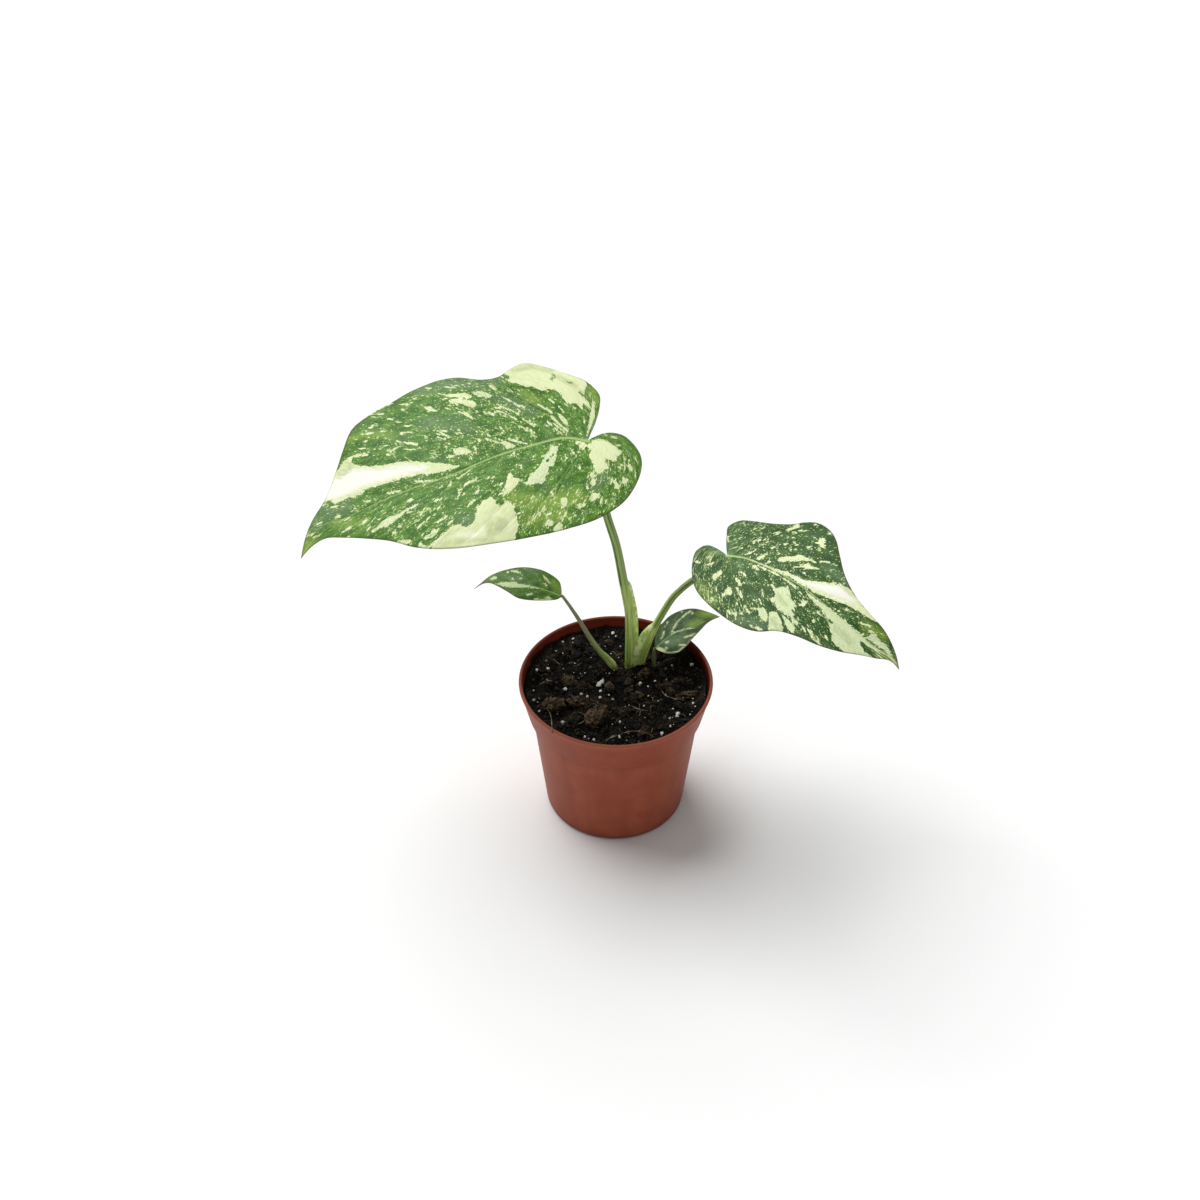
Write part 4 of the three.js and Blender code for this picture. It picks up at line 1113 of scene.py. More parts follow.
        (0.6, -5.5, -35, -6, -32), (26, 11.5, 25.5, 10.5), (23, 8.5, 21.5, 7.5),
        (0.6, 3.5, 7, 2, 9.5), (5.5, 2, 5.5, 2.5)],
    "blotch": [
        [133, -28.5, 131, -33.5, 128, -34.5, 124.5, -35.5, 122.5, -32.5, 121.5, -29,
         123.5, -28, 127, -27, 130.5, -26],
        [69.5, 40.5, 66.5, 38.5, 62, 38.5, 58, 41, 58, 43.5, 59.5, 46.5, 62.5, 48.5,
         66.5, 49, 71, 48.5, 71, 44.5],
        (1.4, 91, 43.5, 81, 47.5, 69.5, 51), (3, 24, -60, 14, -62, 6, -56),
        (2, 4, -50, -4, -40), (1.1, -6, -36, -6, -30.5), (2, 86, 46, 97, 43),
        (1.2, 83, 38.5, 90, 39.5, 95, 42)],
    "lime": [
        (4.9, 45, 32.5, 35.5, 38.5, 18, 37.5), (3.8, 46, 44.5, 29, 46),
        (1.6, 117, -47.5, 106.5, -43, 98, -36.5), (2.2, 24.5, -38.5, 19.5, -32),
        (1.4, 144.5, -3, 129, 7), (3.8, 167.5, 0.5, 162, -3), (2.7, -13, -36, -13, -27),
        (3.2, 50, 31, 50.5, 27.5)],
    "grey": [
        (3.8, 75.5, -62.5, 60, -58.5, 45.5, -50.5, 34.5, -52), (2.7, 73, -30.5, 58.5, -23),
        (4.9, 152, -11.5, 145, -12.5, 135.5, -8.5), (3.8, 80.5, 33.5, 77, 36),
        (3.8, 38, -38.5, 25, -25.5), (3.2, 5.5, 32, -1.5, 28), (3.8, 80, -36, 74.5, -35.5)],
    "flecked": [
        (12, -12, 20, 0, 38, 24, 42, 44, 44), (12, 60, -46, 40, -38, 30, -20, 70, -16),
        (10, 96, 30, 120, 10)],
}

# %% Marks on the large right leaf
LARGE_RIGHT_MARKS = {
    "core": [
        [37, 4.5, 45, 4.5, 53, 7, 62.5, 12.5, 68, 14.5, 73, 13, 79, 10.5, 72, 7.5, 65, 5.5,
         55.5, 3.5, 46, 3]],
    "cream": [
        [15, 2.5, 25, 3.5, 30, 3.5, 33.5, 4, 36.5, 5, 39, 5, 41.5, 5, 44, 5, 47, 5.5,
         49, 6.5, 52, 7.5, 58.5, 11.5, 61, 13.5, 64.5, 15, 68, 15.5, 71, 15.5, 75, 14,
         79.5, 13, 86, 11.5, 93.5, 11, 89.5, 9, 82, 7.5, 77.5, 7, 72, 5.5, 66.5, 3.5,
         60.5, 2.5, 56, 1.5, 52.5, 1.5, 47, 1.5, 42, 2.5, 37.5, 2.5, 32.5, 2, 26, 2, 21, 2],
        [3, -19.5, 1.5, -17.5, 2, -15.5, 3, -14, 3.5, -12, 5, -12, 6.5, -14.5, 5.5, -16.5,
         5.5, -20],
        [15.5, -29.5, 15, -26.5, 15.5, -24.5, 14.5, -22, 15, -20.5, 17.5, -22, 19, -23,
         19.5, -25.5, 16.5, -27],
        [16.5, 4.5, 17.5, 7, 19, 10, 20, 11, 19.5, 8, 18.5, 4.5],
        [9, 4.5, 12, 6, 13, 8.5, 13, 11, 11.5, 8.5, 10, 6],
        [19.5, 30.5, 19.5, 33, 21, 34.5, 21, 37.5, 22, 40, 24.5, 37.5, 23, 35, 21, 30.5],
        [38, 30.5, 39, 32.5, 38, 35, 40.5, 36.5, 42, 35, 42.5, 32.5, 44, 32, 44.5, 29.5,
         42.5, 29, 40.5, 30.5],
        [27.5, 8.5, 28, 11.5, 30, 13, 33, 15.5, 35.5, 18.5, 37.5, 19, 40.5, 19, 43.5, 19,
         46.5, 18.5, 42, 17, 36, 13.5, 31, 9.5],
        [37.5, 9.5, 40, 11.5, 41.5, 14, 43, 15.5, 45.5, 15.5, 50.5, 16, 47, 14, 44, 12,
         40.5, 10.5],
        (20.5, 0.5, 28, 0.5, 35, 0, 42, -1, 48.5, -2),
        (0.6, -6.5, -11.5, -4, -10, -4, -8.5), (0.7, -9, -6, -8, -5),
        (0.9, -13.5, -11, -11.5, -11.5), (3, -23, 5, -25),
        (16, -11, 14, -9.5, 15, -8, 19, -9.5), (0.7, 15.5, -14, 18.5, -15.5, 19.5, -17),
        (20.5, -14.5, 21, -14.5), (0.7, 19.5, -19.5, 22, -21, 25.5, -23.5),
        (0.8, 18.5, -0.5, 21.5, -2), (23.5, 0.5, 25.5, -0.5), (0.7, 32, -13, 35, -17),
        (34.5, -19.5, 37, -21.5), (10.5, -31.5, 13, -32.5), (0.7, 25.5, -28.5, 26, -29),
        (0.6, 30.5, -27.5, 33.5, -30), (34, -27.5, 37, -26),
        (0.6, 24, -36, 25, -34, 26, -36), (0.7, 27.5, -34.5, 30, -36), (31.5, -33, 33, -32),
        (0.6, 35.5, -29.5, 35.5, -30.5), (0.7, 40.5, -36.5, 42.5, -36.5),
        (0.6, 44, -35.5, 47, -35.5), (32, -22, 33.5, -22), (8.5, 15, 11, 17.5),
        (13, 14.5, 14.5, 15), (23, 4, 24.5, 6), (0.6, 20, 15, 23, 18),
        (15.5, 25.5, 17, 27.5), (25, 21, 26, 21.5), (0.7, 28, 25.5, 29.5, 24.5),
        (26, 34.5, 29.5, 37), (0.6, 30, 43.5, 30.5, 44.5), (0.6, 34.5, 34.5, 36, 34),
        (36.5, 25.5, 38.5, 27.5), (40, 41, 41, 41.5), (0.6, 48, 20.5, 49.5, 22, 52, 22.5),
        (44.5, 9, 45.5, 9), (36, 4.5, 38, 6.5), (-7.5, 12.5, -5, 9), (4.5, 7.5, 5, 8),
        (72.5, 2.5, 75.5, 4, 78.5, 5.5), (0.6, 86.5, 3, 88.5, 4.5, 90.5, 5),
        (92, 3, 95.5, 4), (82.5, 5, 82.5, 4.5), (0.9, 55, -7.5, 56.5, -6.5, 56.5, -9),
        (0.6, 53.5, -10, 55, -10.5), (0.7, 69, -20.5, 71, -21.5, 73, -23.5),
        (0.6, 77, -17.5, 78.5, -18.5), (66, -14.5, 67, -14.5), (49.5, -3, 51.5, -4),
        (65, -8.5, 68, -8.5), (64.5, -21, 67.5, -22.5), (75, -23.5, 78.5, -23.5)],
    "pale": [
        [34, -7.5, 34.5, -6.5, 38, -8.5, 41, -5, 42.5, -5, 42, -3.5, 43, -3.5, 45, -6.5,
         48, -9, 50.5, -10.5, 53, -11.5, 54.5, -12.5, 53.5, -14, 56, -16.5, 56.5, -19,
         59.5, -20, 62, -21, 61.5, -22.5, 59.5, -22.5, 57, -21, 55, -19.5, 53, -20.5,
         49, -20.5, 45, -19, 43, -17.5, 40.5, -17.5, 39.5, -16, 40.5, -15, 40.5, -13.5,
         38, -10.5, 35.5, -9],
        [44.5, -24, 46, -22.5, 48, -22, 50.5, -23.5, 52.5, -24.5, 55, -27, 58.5, -31.5,
         56, -34, 52.5, -34.5, 48.5, -31.5, 47, -28.5, 45.5, -27],
        [51.5, -21.5, 54.5, -22, 57, -22.5, 60, -23, 62, -24.5, 63, -27.5, 59, -27.5,
         55, -25],
        [37.5, -25, 39.5, -23, 42, -24.5, 44.5, -26, 45.5, -28, 46, -30, 43.5, -30,
         41, -28.5, 39.5, -27],
        [52, -0.5, 56, -1, 61, -1.5, 66, -1.5, 71.5, -1.5, 77, -1.5, 82.5, -2, 87.5, -2,
         92, -2, 96, -2.5, 100, -2, 104, -1.5, 107.5, 0, 104, -2.5, 100.5, -4, 97, -5,
         93.5, -5, 92.5, -6.5, 94, -7.5, 96.5, -8, 98, -9, 100.5, -8.5, 107, -6, 100.5, -14,
         95, -16, 90.5, -17.5, 87.5, -17.5, 84.5, -18, 81.5, -17, 80, -15.5, 77, -13,
         74.5, -10.5, 71.5, -8.5, 68, -6, 64.5, -4.5, 60.5, -4, 56.5, -3],
        [93, -1.5, 94, 1.5, 95.5, 3, 98.5, 3, 101.5, 3, 103.5, 4, 106, 4, 108, 3, 110.5, 2,
         108, 1, 104.5, 0.5, 100.5, -0.5, 96, -1],
        (0.7, 108, 0.5, 112, 1, 116.5, 0.5)],
    "hole": [
        (51, -22.5, 54.5, -24.5, 58, -27.5), (72.5, -8, 75, -8), (56, -16.5, 54, -16)],
    "blotch": [
        (1.7, 41.5, -12, 48.5, -15), (1.7, 48, -27, 54, -29.5), (2.3, 78, -9.5, 89, -10.5),
        (1.7, 68, 14.5, 72, 14)],
    "lime": [
        (2, -1, -26, 12.5, -33.5), (2.9, 90.5, 4, 99, 6), (2.3, 105.5, -3.5, 112, 1)],
    "grey": [
        (3.4, 32, -37, 39, -35, 46.5, -34), (2.9, 54.5, 19, 65, 17.5),
        (2.3, -4.5, 1.5, -10, 2), (2.3, 10, -4, 12, -4)],
    "flecked": [
        (8, 10, -24, 24, -32), (11, -12, -10, -8, -26, 6, -30), (12, 20, 24, 4, 20),
        (7, 66, -18, 60, -8)],
}

# %% Marks on the small left leaf
SMALL_LEFT_MARKS = {
    "cream": [
        (0.8, 32, -9.1, 28.7, -8), (0.6, 14.3, -9.6, 12, -8.1, 9.6, -5.8),
        (11.6, -4, 10.7, -3.2), (0.9, 7.9, 7.1, 7.1, 5.4, 5.7, 5.9),
        (0.6, 13.8, 10.2, 12.2, 9.5), (0.6, 12, 10.3, 4.3, 6.4)],
    "pale": [
        [40.7, 1.4, 37.7, 0.7, 33.5, 0.2, 29.2, 0, 24.9, 0.5, 20.1, 0.5, 14, 1.2, 19.3, 2.6,
         27.9, 4.5, 32.1, 5, 36.1, 3.9],
        (0.9, 44.6, -3.8, 41.3, -3.9), (0.6, 35.3, -7.8, 34.1, -7.8),
        (0.6, 26.4, -3.1, 25.8, -3.2), (0.6, 31, -2.5, 30.4, -2.5),
        (0.8, 18.6, 8.3, 16.5, 7.1)],
    "lime": [
        (1.8, 6.9, -7.4, 3.2, -3.4), (1.8, 49.6, -4.5, 46.2, -5.1)],
    "grey": [
        (1.8, 22.3, -10.6, 18, -12.3), (1.8, 31, -2.5, 26.2, -2.3)],
    "flecked": [
        (5, 30, -6, 12, -7)],
}

# %% Marks on the small right leaf
SMALL_RIGHT_MARKS = {
    "cream": [
        (0.9, 7.1, -1.3, 7.6, -1.8), (0.8, 17.8, -6.8, 19.6, -7.3, 21.9, -8.1),
        (0.6, 22.3, -7.3, 24.4, -8.4), (0.6, 12.6, -10.2, 14.9, -12.5),
        (1.7, -1.6, -0.7, 1.3, -2.8, 2.5, -5.9),
        (0.6, 2.5, -5.9, 3.7, -9.1, 5.8, -11.7, 8.7, -13.1, 11.4, -13.5, 15.1, -13.2,
         18.5, -12.1, 21, -11.1)],
    "pale": [
        (0.4, 30.5, 11.1, 25.7, 9.7, 23.2, 9, 19.7, 7.7),
        (0.35, 19.7, 7.7, 16.2, 5, 13.8, 3.2), (15.6, 12, 13.1, 9.9),
        (0.6, 10, 6.6, 8.4, 5.1, 6.8, 3.7),
        (0.35, 13.1, 1.9, 18, 0.6, 22.6, -1.2, 25.7, -3.2), (31, 9.6, 30.9, 8.1),
        (25.8, 15.5, 26.4, 13.8), (5.1, -5.1, 5.9, -6.5)],
    "lime": [
        (2.5, 36.3, 5.4, 42.2, 2.3), (1.9, 26.1, 0.3, 30.3, 0.6)],
    "grey": [
        (2.5, 9, -2.5, 14, -6.4)],
    "flecked": [
        (5, 20, 8, 14, -6)],
}

# %% Depth inside the nearest mark
MARK_LIMIT = 4.0
FINE_STREAK = 0.5
MARK_KINDS = ("core", "cream", "pale", "hole", "blotch", "lime", "grey", "flecked")
MARK_SOFTNESS = {"core": 5, "pale": 1.5, "blotch": 2, "lime": 6, "grey": 6, "flecked": 6}


def streak_depth(flat, radius, points):
    """How deep each flat point lies inside a streak, in millimetres; below 0 outside."""
    depth = np.full(len(flat), -MARK_LIMIT)
    for start, end in zip(points, points[1:]):
        span = end - start
        part = np.clip((flat - start) @ span / max(span @ span, 1e-6), 0, 1)
        away = np.linalg.norm(flat - start - part[:, None] * span, axis=1)
        depth = np.maximum(depth, radius - away)
    return depth


def outline_depth(flat, corners):
    """The same for a patch. A line from an inner point crosses the outline an odd
    number of times."""
    inside = np.zeros(len(flat), bool)
    for (a, b), (c, d) in zip(corners, np.roll(corners, -1, axis=0)):
        level = (b > flat[:, 1]) != (d > flat[:, 1])
        slope = (c - a) / (d - b or 1)
        inside ^= level & (flat[:, 0] < a + slope * (flat[:, 1] - b))
    away = streak_depth(flat, 0, [*corners, corners[0]])
    return np.where(inside, -away, away)


def mark_depth(flat, marks):
    """How deep each flat point lies in the nearest of these marks."""
    depth = np.full(len(flat), -MARK_LIMIT)
    for mark in marks:
        radius, numbers = (mark[0], mark[1:]) if len(mark) % 2 else (FINE_STREAK, mark)
        points = np.array(numbers, float).reshape(-1, 2)
        if isinstance(mark, list):
            found = outline_depth(flat, points)
        else:
            found = streak_depth(flat, radius, points)
        depth = np.maximum(depth, found)
    return np.clip(depth, -MARK_LIMIT, MARK_LIMIT)


def leaf_marks(flat, marks):
    """The attributes that the leaf finish reads, by name."""
    depths = {kind: mark_depth(flat, marks.get(kind, [])) for kind in MARK_KINDS}
    patch = np.maximum(depths["cream"], depths["pale"])
    found = {"cream": np.minimum(patch, -depths["hole"])}
    for kind, softness in MARK_SOFTNESS.items():
        found[kind] = np.clip(depths[kind] / softness + 0.5, 0, 1)
    return found


# %% [markdown]
# ## Building a blade
# A living blade isn't a flat sheet. It sinks along each side vein and puffs up a
# little between them, the midrib is a groove above and a round rib below, and the
# margin thins out. A grid for each half is bent into place, extruded once to give
# it an underside, and then both faces are set apart by these few rules.

# %% Flat net of one half
NET_VALUES = ("along", "across", "reach", "run", "edge", "dent")
COLUMN_CROWDING = 1.2
VEIN_CROWDING = 1.9
VEIN_BOW = 0.18


def net_of_half(bm, form, margin, vein_start, layers, side):
    """Adds the net. Each point keeps its flat place, its reach from the midrib along
    its vein, its run from vein to vein, and how far it is to the margin and to the
    nearest side vein, in the order of NET_VALUES."""
    edge = smooth_curve(margin, SPLINE_STEPS)
    walked = np.concatenate(([0], np.cumsum(np.linalg.norm(np.diff(edge, axis=0), axis=1))))
    total = walked[-1]
    grid = bmesh.ops.create_grid(bm, x_segments=form.lobe_rows + form.blade_rows,
                                 y_segments=form.columns, size=0.5)["verts"]
    share = form.lobe_rows / (form.lobe_rows + form.blade_rows)
    row = np.array([vert.co.x + 0.5 for vert in grid])
    t = np.clip([vert.co.y + 0.5 for vert in grid], 0, 1) ** COLUMN_CROWDING
    x = np.clip((row - share) / (1 - share), 0, 1)
    s = np.where(row < share, vein_start * row / share, vein_start + (1 - vein_start) * x)
    root_a = form.length * x ** VEIN_CROWDING
    root_b = form.rib(root_a)
    rim_a, rim_b = (np.interp(s * total, walked, edge[:, k]) for k in (0, 1))
    bow = VEIN_BOW * np.minimum(1, 6 * x) * np.abs(rim_b - root_b)
    along = root_a + (rim_a - root_a) * t - bow * 4 * t * (1 - t)
    across = root_b + (rim_b - root_b) * t
    vein = np.hypot(rim_a - root_a, rim_b - root_b)
    run = root_a + ((s - vein_start) * total - root_a) * t
    lobe_veins, blade_veins = form.side_veins
    phase = np.where(row < share, lobe_veins * row / share, lobe_veins + blade_veins * x)
    spread = VEIN_CROWDING * x ** (VEIN_CROWDING - 1)
    root_gap = np.where(row < share, 0, 0.7 * spread * form.length / blade_veins)
    rim_gap = np.where(row < share, vein_start * total / lobe_veins,
                       0.8 * (1 - vein_start) * total / blade_veins)
    off = np.abs(phase - np.round(phase)) * (root_gap + (rim_gap - root_gap) * t)
    values = (along, across, side * t * vein, run, (1 - t) * vein, off)
    for vert, found in zip(grid, np.stack(values, axis=1)):
        for layer, value in zip(layers, found):
            vert[layer] = value
        vert.co = (found[0] * MM, found[1] * MM, 0)


# %% Join the halves and give them an underside
def flat_solid(form):
    """Both halves joined along the midrib, with an underside that still lies in the
    same place. Each corner's values come in the order of NET_VALUES, with under last."""
    bm = bmesh.new()
    *layers, under = [bm.verts.layers.float.new(name) for name in (*NET_VALUES, "under")]
    bm.verts.layers.float_vector.new("grain")
    net_of_half(bm, form, form.left_margin, form.left_vein_start, layers, 1)
    net_of_half(bm, form, form.right_margin, form.right_vein_start, layers, -1)
    bmesh.ops.remove_doubles(bm, verts=bm.verts, dist=0.02 * MM)
    made = bmesh.ops.extrude_face_region(bm, geom=bm.faces[:], use_keep_orig=True)["geom"]
    for vert in verts_in(made):
        vert[under] = 1.0
    return bm, [np.array([vert[layer] for vert in bm.verts]) for layer in (*layers, under)]


# %% Relief of both faces
BLADE_HALF = 0.28
EDGE_HALF = 0.1
EDGE_STRIP = 1.5
RIB_TAPER = 0.85
RIB_WIDTH = 1.25
STRIPE_WIDTH = 1.0
GROOVE_DEPTH = 0.22
SIDE_VEIN_WIDTH = 0.8
SIDE_VEIN_DEPTH = 0.17
PUFF_WIDTH = 4
PUFF_HEIGHT = 1.3


def relief_of(form, along, reach, edge, off, below):
    """How far each corner stands off the middle surface, and where the midrib's stripe
    and the side veins show, from 0 to 1."""
    scale = form.half_width / 60
    taper = 1 - RIB_TAPER * np.maximum(along, 0) / form.length
    inner = np.clip(np.abs(reach) / 3, 0, 1) * np.clip(edge / (8 * scale + 2), 0, 1)
    furrow = np.exp(-(off / SIDE_VEIN_WIDTH) ** 2)
    puff = 1 - np.exp(-(off / PUFF_WIDTH) ** 2)
    sheet = inner * SIDE_VEIN_DEPTH * (0.4 + 0.6 * scale) * (PUFF_HEIGHT * puff - furrow)
    rib_near = np.exp(-(reach / (RIB_WIDTH * taper * (0.4 + 0.6 * scale) + 0.15)) ** 2)
    half = EDGE_HALF + (BLADE_HALF - EDGE_HALF) * np.clip(edge / EDGE_STRIP, 0, 1)
    top = half - GROOVE_DEPTH * rib_near * taper * (0.5 + 0.5 * scale)
    bottom = -half - form.rib_depth * taper * rib_near
    stripe = np.exp(-(reach / (STRIPE_WIDTH * taper * (0.45 + 0.55 * scale) + 0.2)) ** 2)
    shown = {"rib": stripe, "vein": furrow * np.clip(edge / 6, 0, 1)}
    return sheet + np.where(below > 0.5, bottom, top), shown


# %% One blade
def blade(form, marks):
    """A closed mesh with the attributes that its finish reads. Adding a layer moves
    the layers made before it, so grain is looked up once all of them are there."""
    bm, (along, across, reach, run, edge, off, below) = flat_solid(form)
    offset, shown = relief_of(form, along, reach, edge, off, below)
    spots = form.place(along, across) + form.normal(along, across) * offset[:, None]
    for vert, spot in zip(bm.verts, spots):
        vert.co = Vector(spot) * MM
    found = {**leaf_marks(np.stack([along, across], axis=1), marks), **shown}
    for name, values in found.items():
        layer = bm.verts.layers.float.new(name)
        for vert, value in zip(bm.verts, values):
            vert[layer] = value
    grain = bm.verts.layers.float_vector["grain"]
    for vert, a, b in zip(bm.verts, run, reach):
        vert[grain] = Vector((a, b, 0))
    bmesh.ops.recalc_face_normals(bm, faces=bm.faces)
    return bm


# %% [markdown]
# ## The leaf's finish
# Up close the green is never one colour: it is mottled, greyer in places as a
# painted sheen, and limier where the leaf is young. Every noise here is drawn out
# along the side veins, because the cells grew in that direction. The grain attribute
# gives it: its first number changes from vein to vein and its second along one vein.

# %% What every leaf finish starts from
LEAF_MARKS = ("cream", "pale", "core", "blotch", "lime", "grey", "flecked", "rib", "vein",
              "edge", "under", "along")


class LeafFinish(Finish):
    """A finish with the blade's marks and its commonest noises at hand."""

    def __init__(self, name):
        super().__init__(name)
        self.grain = self.attribute("grain", "Vector")
        for mark in LEAF_MARKS:
            setattr(self, mark, self.attribute(mark))
        self.fine = self.drawn_out(0.45, 1.1, 3, 0.6)
        self.fray = self.drawn_out(0.4, 0.55, 3, 0.65)
        self.grit = self.drawn_out(0.7, 2.6, 1)
        self.blots = self.clouds(self.moved(self.grain, (40, 7, 3)), 0.22, 3, 0.6)

    def drawn_out(self, squeeze, scale, detail, roughness=0.5):
        """Noise along the side veins. The smaller squeeze is, the longer its spots."""
        drawn = self.stretched(self.grain, (1, squeeze, 1))
        return self.clouds(drawn, scale, detail, roughness)


# %% Green between the marks
def green_tissue(f, deep, mid, light, marked):
    """Mottled green, with a greyer painted sheen and limier places, and faint pale side veins."""
    wide = f.clouds(f.grain, 0.07, 3, 0.6)
    color = f.mix(f.blots.between(0.38, 0.62), deep, mid)
    color = f.mix(f.fine.between(0.5, 0.72) * 0.45, color, light)
    color = f.mix(f.fine.between(0.3, 0.45), f.mix(0.3, color, deep), color)
    color = f.mix(f.grit.between(0.52, 0.66) * 0.2, color, light)
    # Painted sheen: broad patches and the sheen marks are painted a greyer green.
    greyed = (wide.between(0.5, 0.75) * 0.3).highest(f.grey * 0.55)
    color = f.mix(greyed, color, tone(116, 142, 106))
    color = f.mix(f.lime * (f.fine * 0.6 + 0.2), color, tone(160, 190, 80))
    near_rib = 1 - f.part(f.grain, "Y").size().between(2, 26)
    veined = f.vein * (near_rib * 0.22 + 0.05) * marked
    return f.mix(veined, color, tone(150, 182, 108))


# %% [markdown]
# Cream flecks of three sizes lie between the patches. A fleck is one cell of a
# Voronoi pattern: the cell's own random number decides whether it holds a fleck and
# how large it grows. Noise bends the pattern first, so that no row of cells shows.

# %% Flecks
FLECK_GROWTH = 1.6
FLECK_EDGE = 0.08
DASH_SHARE = 0.12
SPLASH_SHARE = 0.18
SPECK_SHARE = 0.26


def flecks(f, grain, squeeze, scale, share):
    """One fleck to a cell, in this share of the cells."""
    far, lot = f.cells(f.stretched(grain, (1, squeeze, 0)), scale)
    return ((lot - 1 + share) * FLECK_GROWTH - far).between(0, FLECK_EDGE)


def fleck_layers(f, speckled):
    """The small specks, and the larger splashes and dashes together."""
    swirls = f.node("ShaderNodeTexNoise", None, {"Vector": f.grain, "Scale": 0.8}, "Color")
    bent = f.moved(f.grain, f.stretched(swirls, (0.9, 1.7, 0)))
    more = (f.flecked * 0.07 + f.lime * 0.03 + (f.blots - 0.5) * 0.5
            + f.cream.between(-4, -0.3) * 0.05)
    dashes = flecks(f, bent, 0.24, 0.45, (more + DASH_SHARE) * speckled)
    splashes = flecks(f, f.moved(bent, (17, 5, 0)), 0.4, 0.85, (more + SPLASH_SHARE) * speckled)
    specks = flecks(f, f.moved(bent, (3, 29, 0)), 0.75, 1.3, (more + SPECK_SHARE) * speckled)
    return specks, splashes.highest(dashes)


# %% [markdown]
# A cream patch has a ragged edge, because depth and noise are added before the step
# that draws it. Inside, it is whitest at the core and greener where the cream is
# thin. Last come the midrib's pale stripe, the thin brown margin and the dry tip.

# %% Skin of a patch
def cream_skin(f, mid, specks, ragged):
    """The colours inside a patch, with islands of green near its edge."""
    fibre = f.drawn_out(0.1, 1.5, 2)
    skin = f.mix(f.fray.between(0.35, 0.7), tone(226, 237, 176), tone(240, 246, 205))
    greener = f.mix(f.fine.between(0.35, 0.62), tone(202, 220, 164), tone(230, 240, 198))
    skin = f.mix(f.pale, skin, greener)
    whitest = (f.core + (f.fray - 0.5) * 0.8).between(0.15, 1.0)
    skin = f.mix(whitest, skin, tone(252, 252, 240))
    stained = fibre.between(0.5, 0.75) * 0.45 + f.grit.between(0.5, 0.7) * 0.2
    skin = f.mix(stained * (1 - f.core), skin, tone(196, 212, 148))
    skin = f.mix(f.blotch * f.fray.between(0.3, 0.6) * 0.75, skin, tone(186, 197, 148))
    islands = specks * (1 - ragged.between(0.3, 2.2))
    return f.mix(islands * 0.8, skin, mid)


# %% Midrib, margin, tip and underside
DRY_TIP = 6


def rib_and_edges(f, color, patch, marked, tip):
    """The dry tip starts at tip, and its edge is a few millimetres ragged."""
    stripe = (f.rib + (f.fray - 0.5) * 0.5).between(0.1, 0.6) * (1 - patch * 0.5) * marked
    color = f.mix(stripe * 0.85, color, tone(182, 208, 138))
    color = f.mix(f.rib.between(0.95, 1.0) * 0.3 * marked, color, tone(120, 152, 84))
    line = 1 - (f.edge + (f.fray - 0.5) * 0.6).between(0.3, 0.85)
    color = f.mix(line * (0.8 - patch * 0.5), color, tone(104, 98, 72))
    dry = (f.along + (f.fray - 0.5) * 4).between(tip, tip + DRY_TIP)
    color = f.mix(dry * 0.85, color, tone(104, 96, 80))
    return f.mix(f.under * 0.55, color, tone(150, 178, 120))


# %% Leaf finish
def leaf_finish(name, deep, mid, light, speckled, marked, tip):
    """speckled scales the number of flecks, and marked how strongly the flecks and
    patches show. tip is where the dry end starts, in millimetres from the stalk."""
    f = LeafFinish(name)
    color = green_tissue(f, deep, mid, light, marked)
    specks, splashes = fleck_layers(f, speckled)
    color = f.mix(specks * 0.85 * marked, color, tone(206, 224, 150))
    color = f.mix(splashes * (1 - f.rib) * marked, color, tone(228, 239, 182))
    block = f.cells(f.stretched(f.grain, (1, 0.3, 0)), 0.9)[1]
    ragged = f.cream + (f.fray - 0.5) * 1.6 + (f.fine - 0.5) + (block - 0.5) * 0.8
    soft = 1.1 - marked
    patch = ragged.between(-soft, soft + 0.1) * (marked * 0.5 + 0.5)
    color = f.mix(patch, color, cream_skin(f, mid, specks, ragged))
    color = rib_and_edges(f, color, patch, marked, tip)
    relief = f.bump(f.fine * 0.6 + f.drawn_out(0.6, 2.4, 2) * 0.5, 0.00022, 0.7)
    return f.finished(color, f.fine * 0.2 + 0.42 + patch * 0.06, relief, shine=0.22)


# %% Four greens
# Painted light: the large left leaf gets a lighter, yellower green for the light that falls on it
# and through it, and the large right leaf a darker green for shade.
LIT_LEAF = leaf_finish("lit_green_marbled_leaf", tone(52, 102, 24), tone(90, 138, 44),
                         tone(132, 174, 72), speckled=1.0, marked=1.0, tip=166)
SHADED_LEAF = leaf_finish("shaded_green_marbled_leaf", tone(34, 70, 24), tone(56, 94, 36),
                        tone(96, 136, 66), speckled=1.0, marked=1.0, tip=112)
SMALL_FRESH_LEAF = leaf_finish("small_fresh_green_leaf", tone(50, 88, 22), tone(76, 114, 34),
                               tone(104, 140, 54), speckled=0.6, marked=0.6, tip=43)
SMALL_DARK_LEAF = leaf_finish("small_olive_green_leaf", tone(30, 54, 14), tone(44, 72, 22),
                              tone(66, 94, 36), speckled=0.5, marked=0.35, tip=44)

# %% Four blades
for place, form, marks, finish, slot in (
        ("large_left", LARGE_LEFT, LARGE_LEFT_MARKS, LIT_LEAF, "leaf_green"),
        ("large_right", LARGE_RIGHT, LARGE_RIGHT_MARKS, SHADED_LEAF, "leaf_dark_green"),
        ("small_left", SMALL_LEFT, SMALL_LEFT_MARKS, SMALL_FRESH_LEAF, "leaf_green"),
        ("small_right", SMALL_RIGHT, SMALL_RIGHT_MARKS, SMALL_DARK_LEAF, "leaf_dark_green")):
    add_piece(blade(form, marks), place + "_blade", finish, slot, "leaf_" + place)

# %% [markdown]
# ## The stalks and their sheaths
# A monstera's stalk starts as a sheath that once wrapped the next leaf: a folded
# wing along one side that ends in a small free tip. Above it the stalk is round
# with a shallow channel. The wing is a swelling of the tube's section, narrow
# enough to read as a fold, and the rings follow the CAD's path.

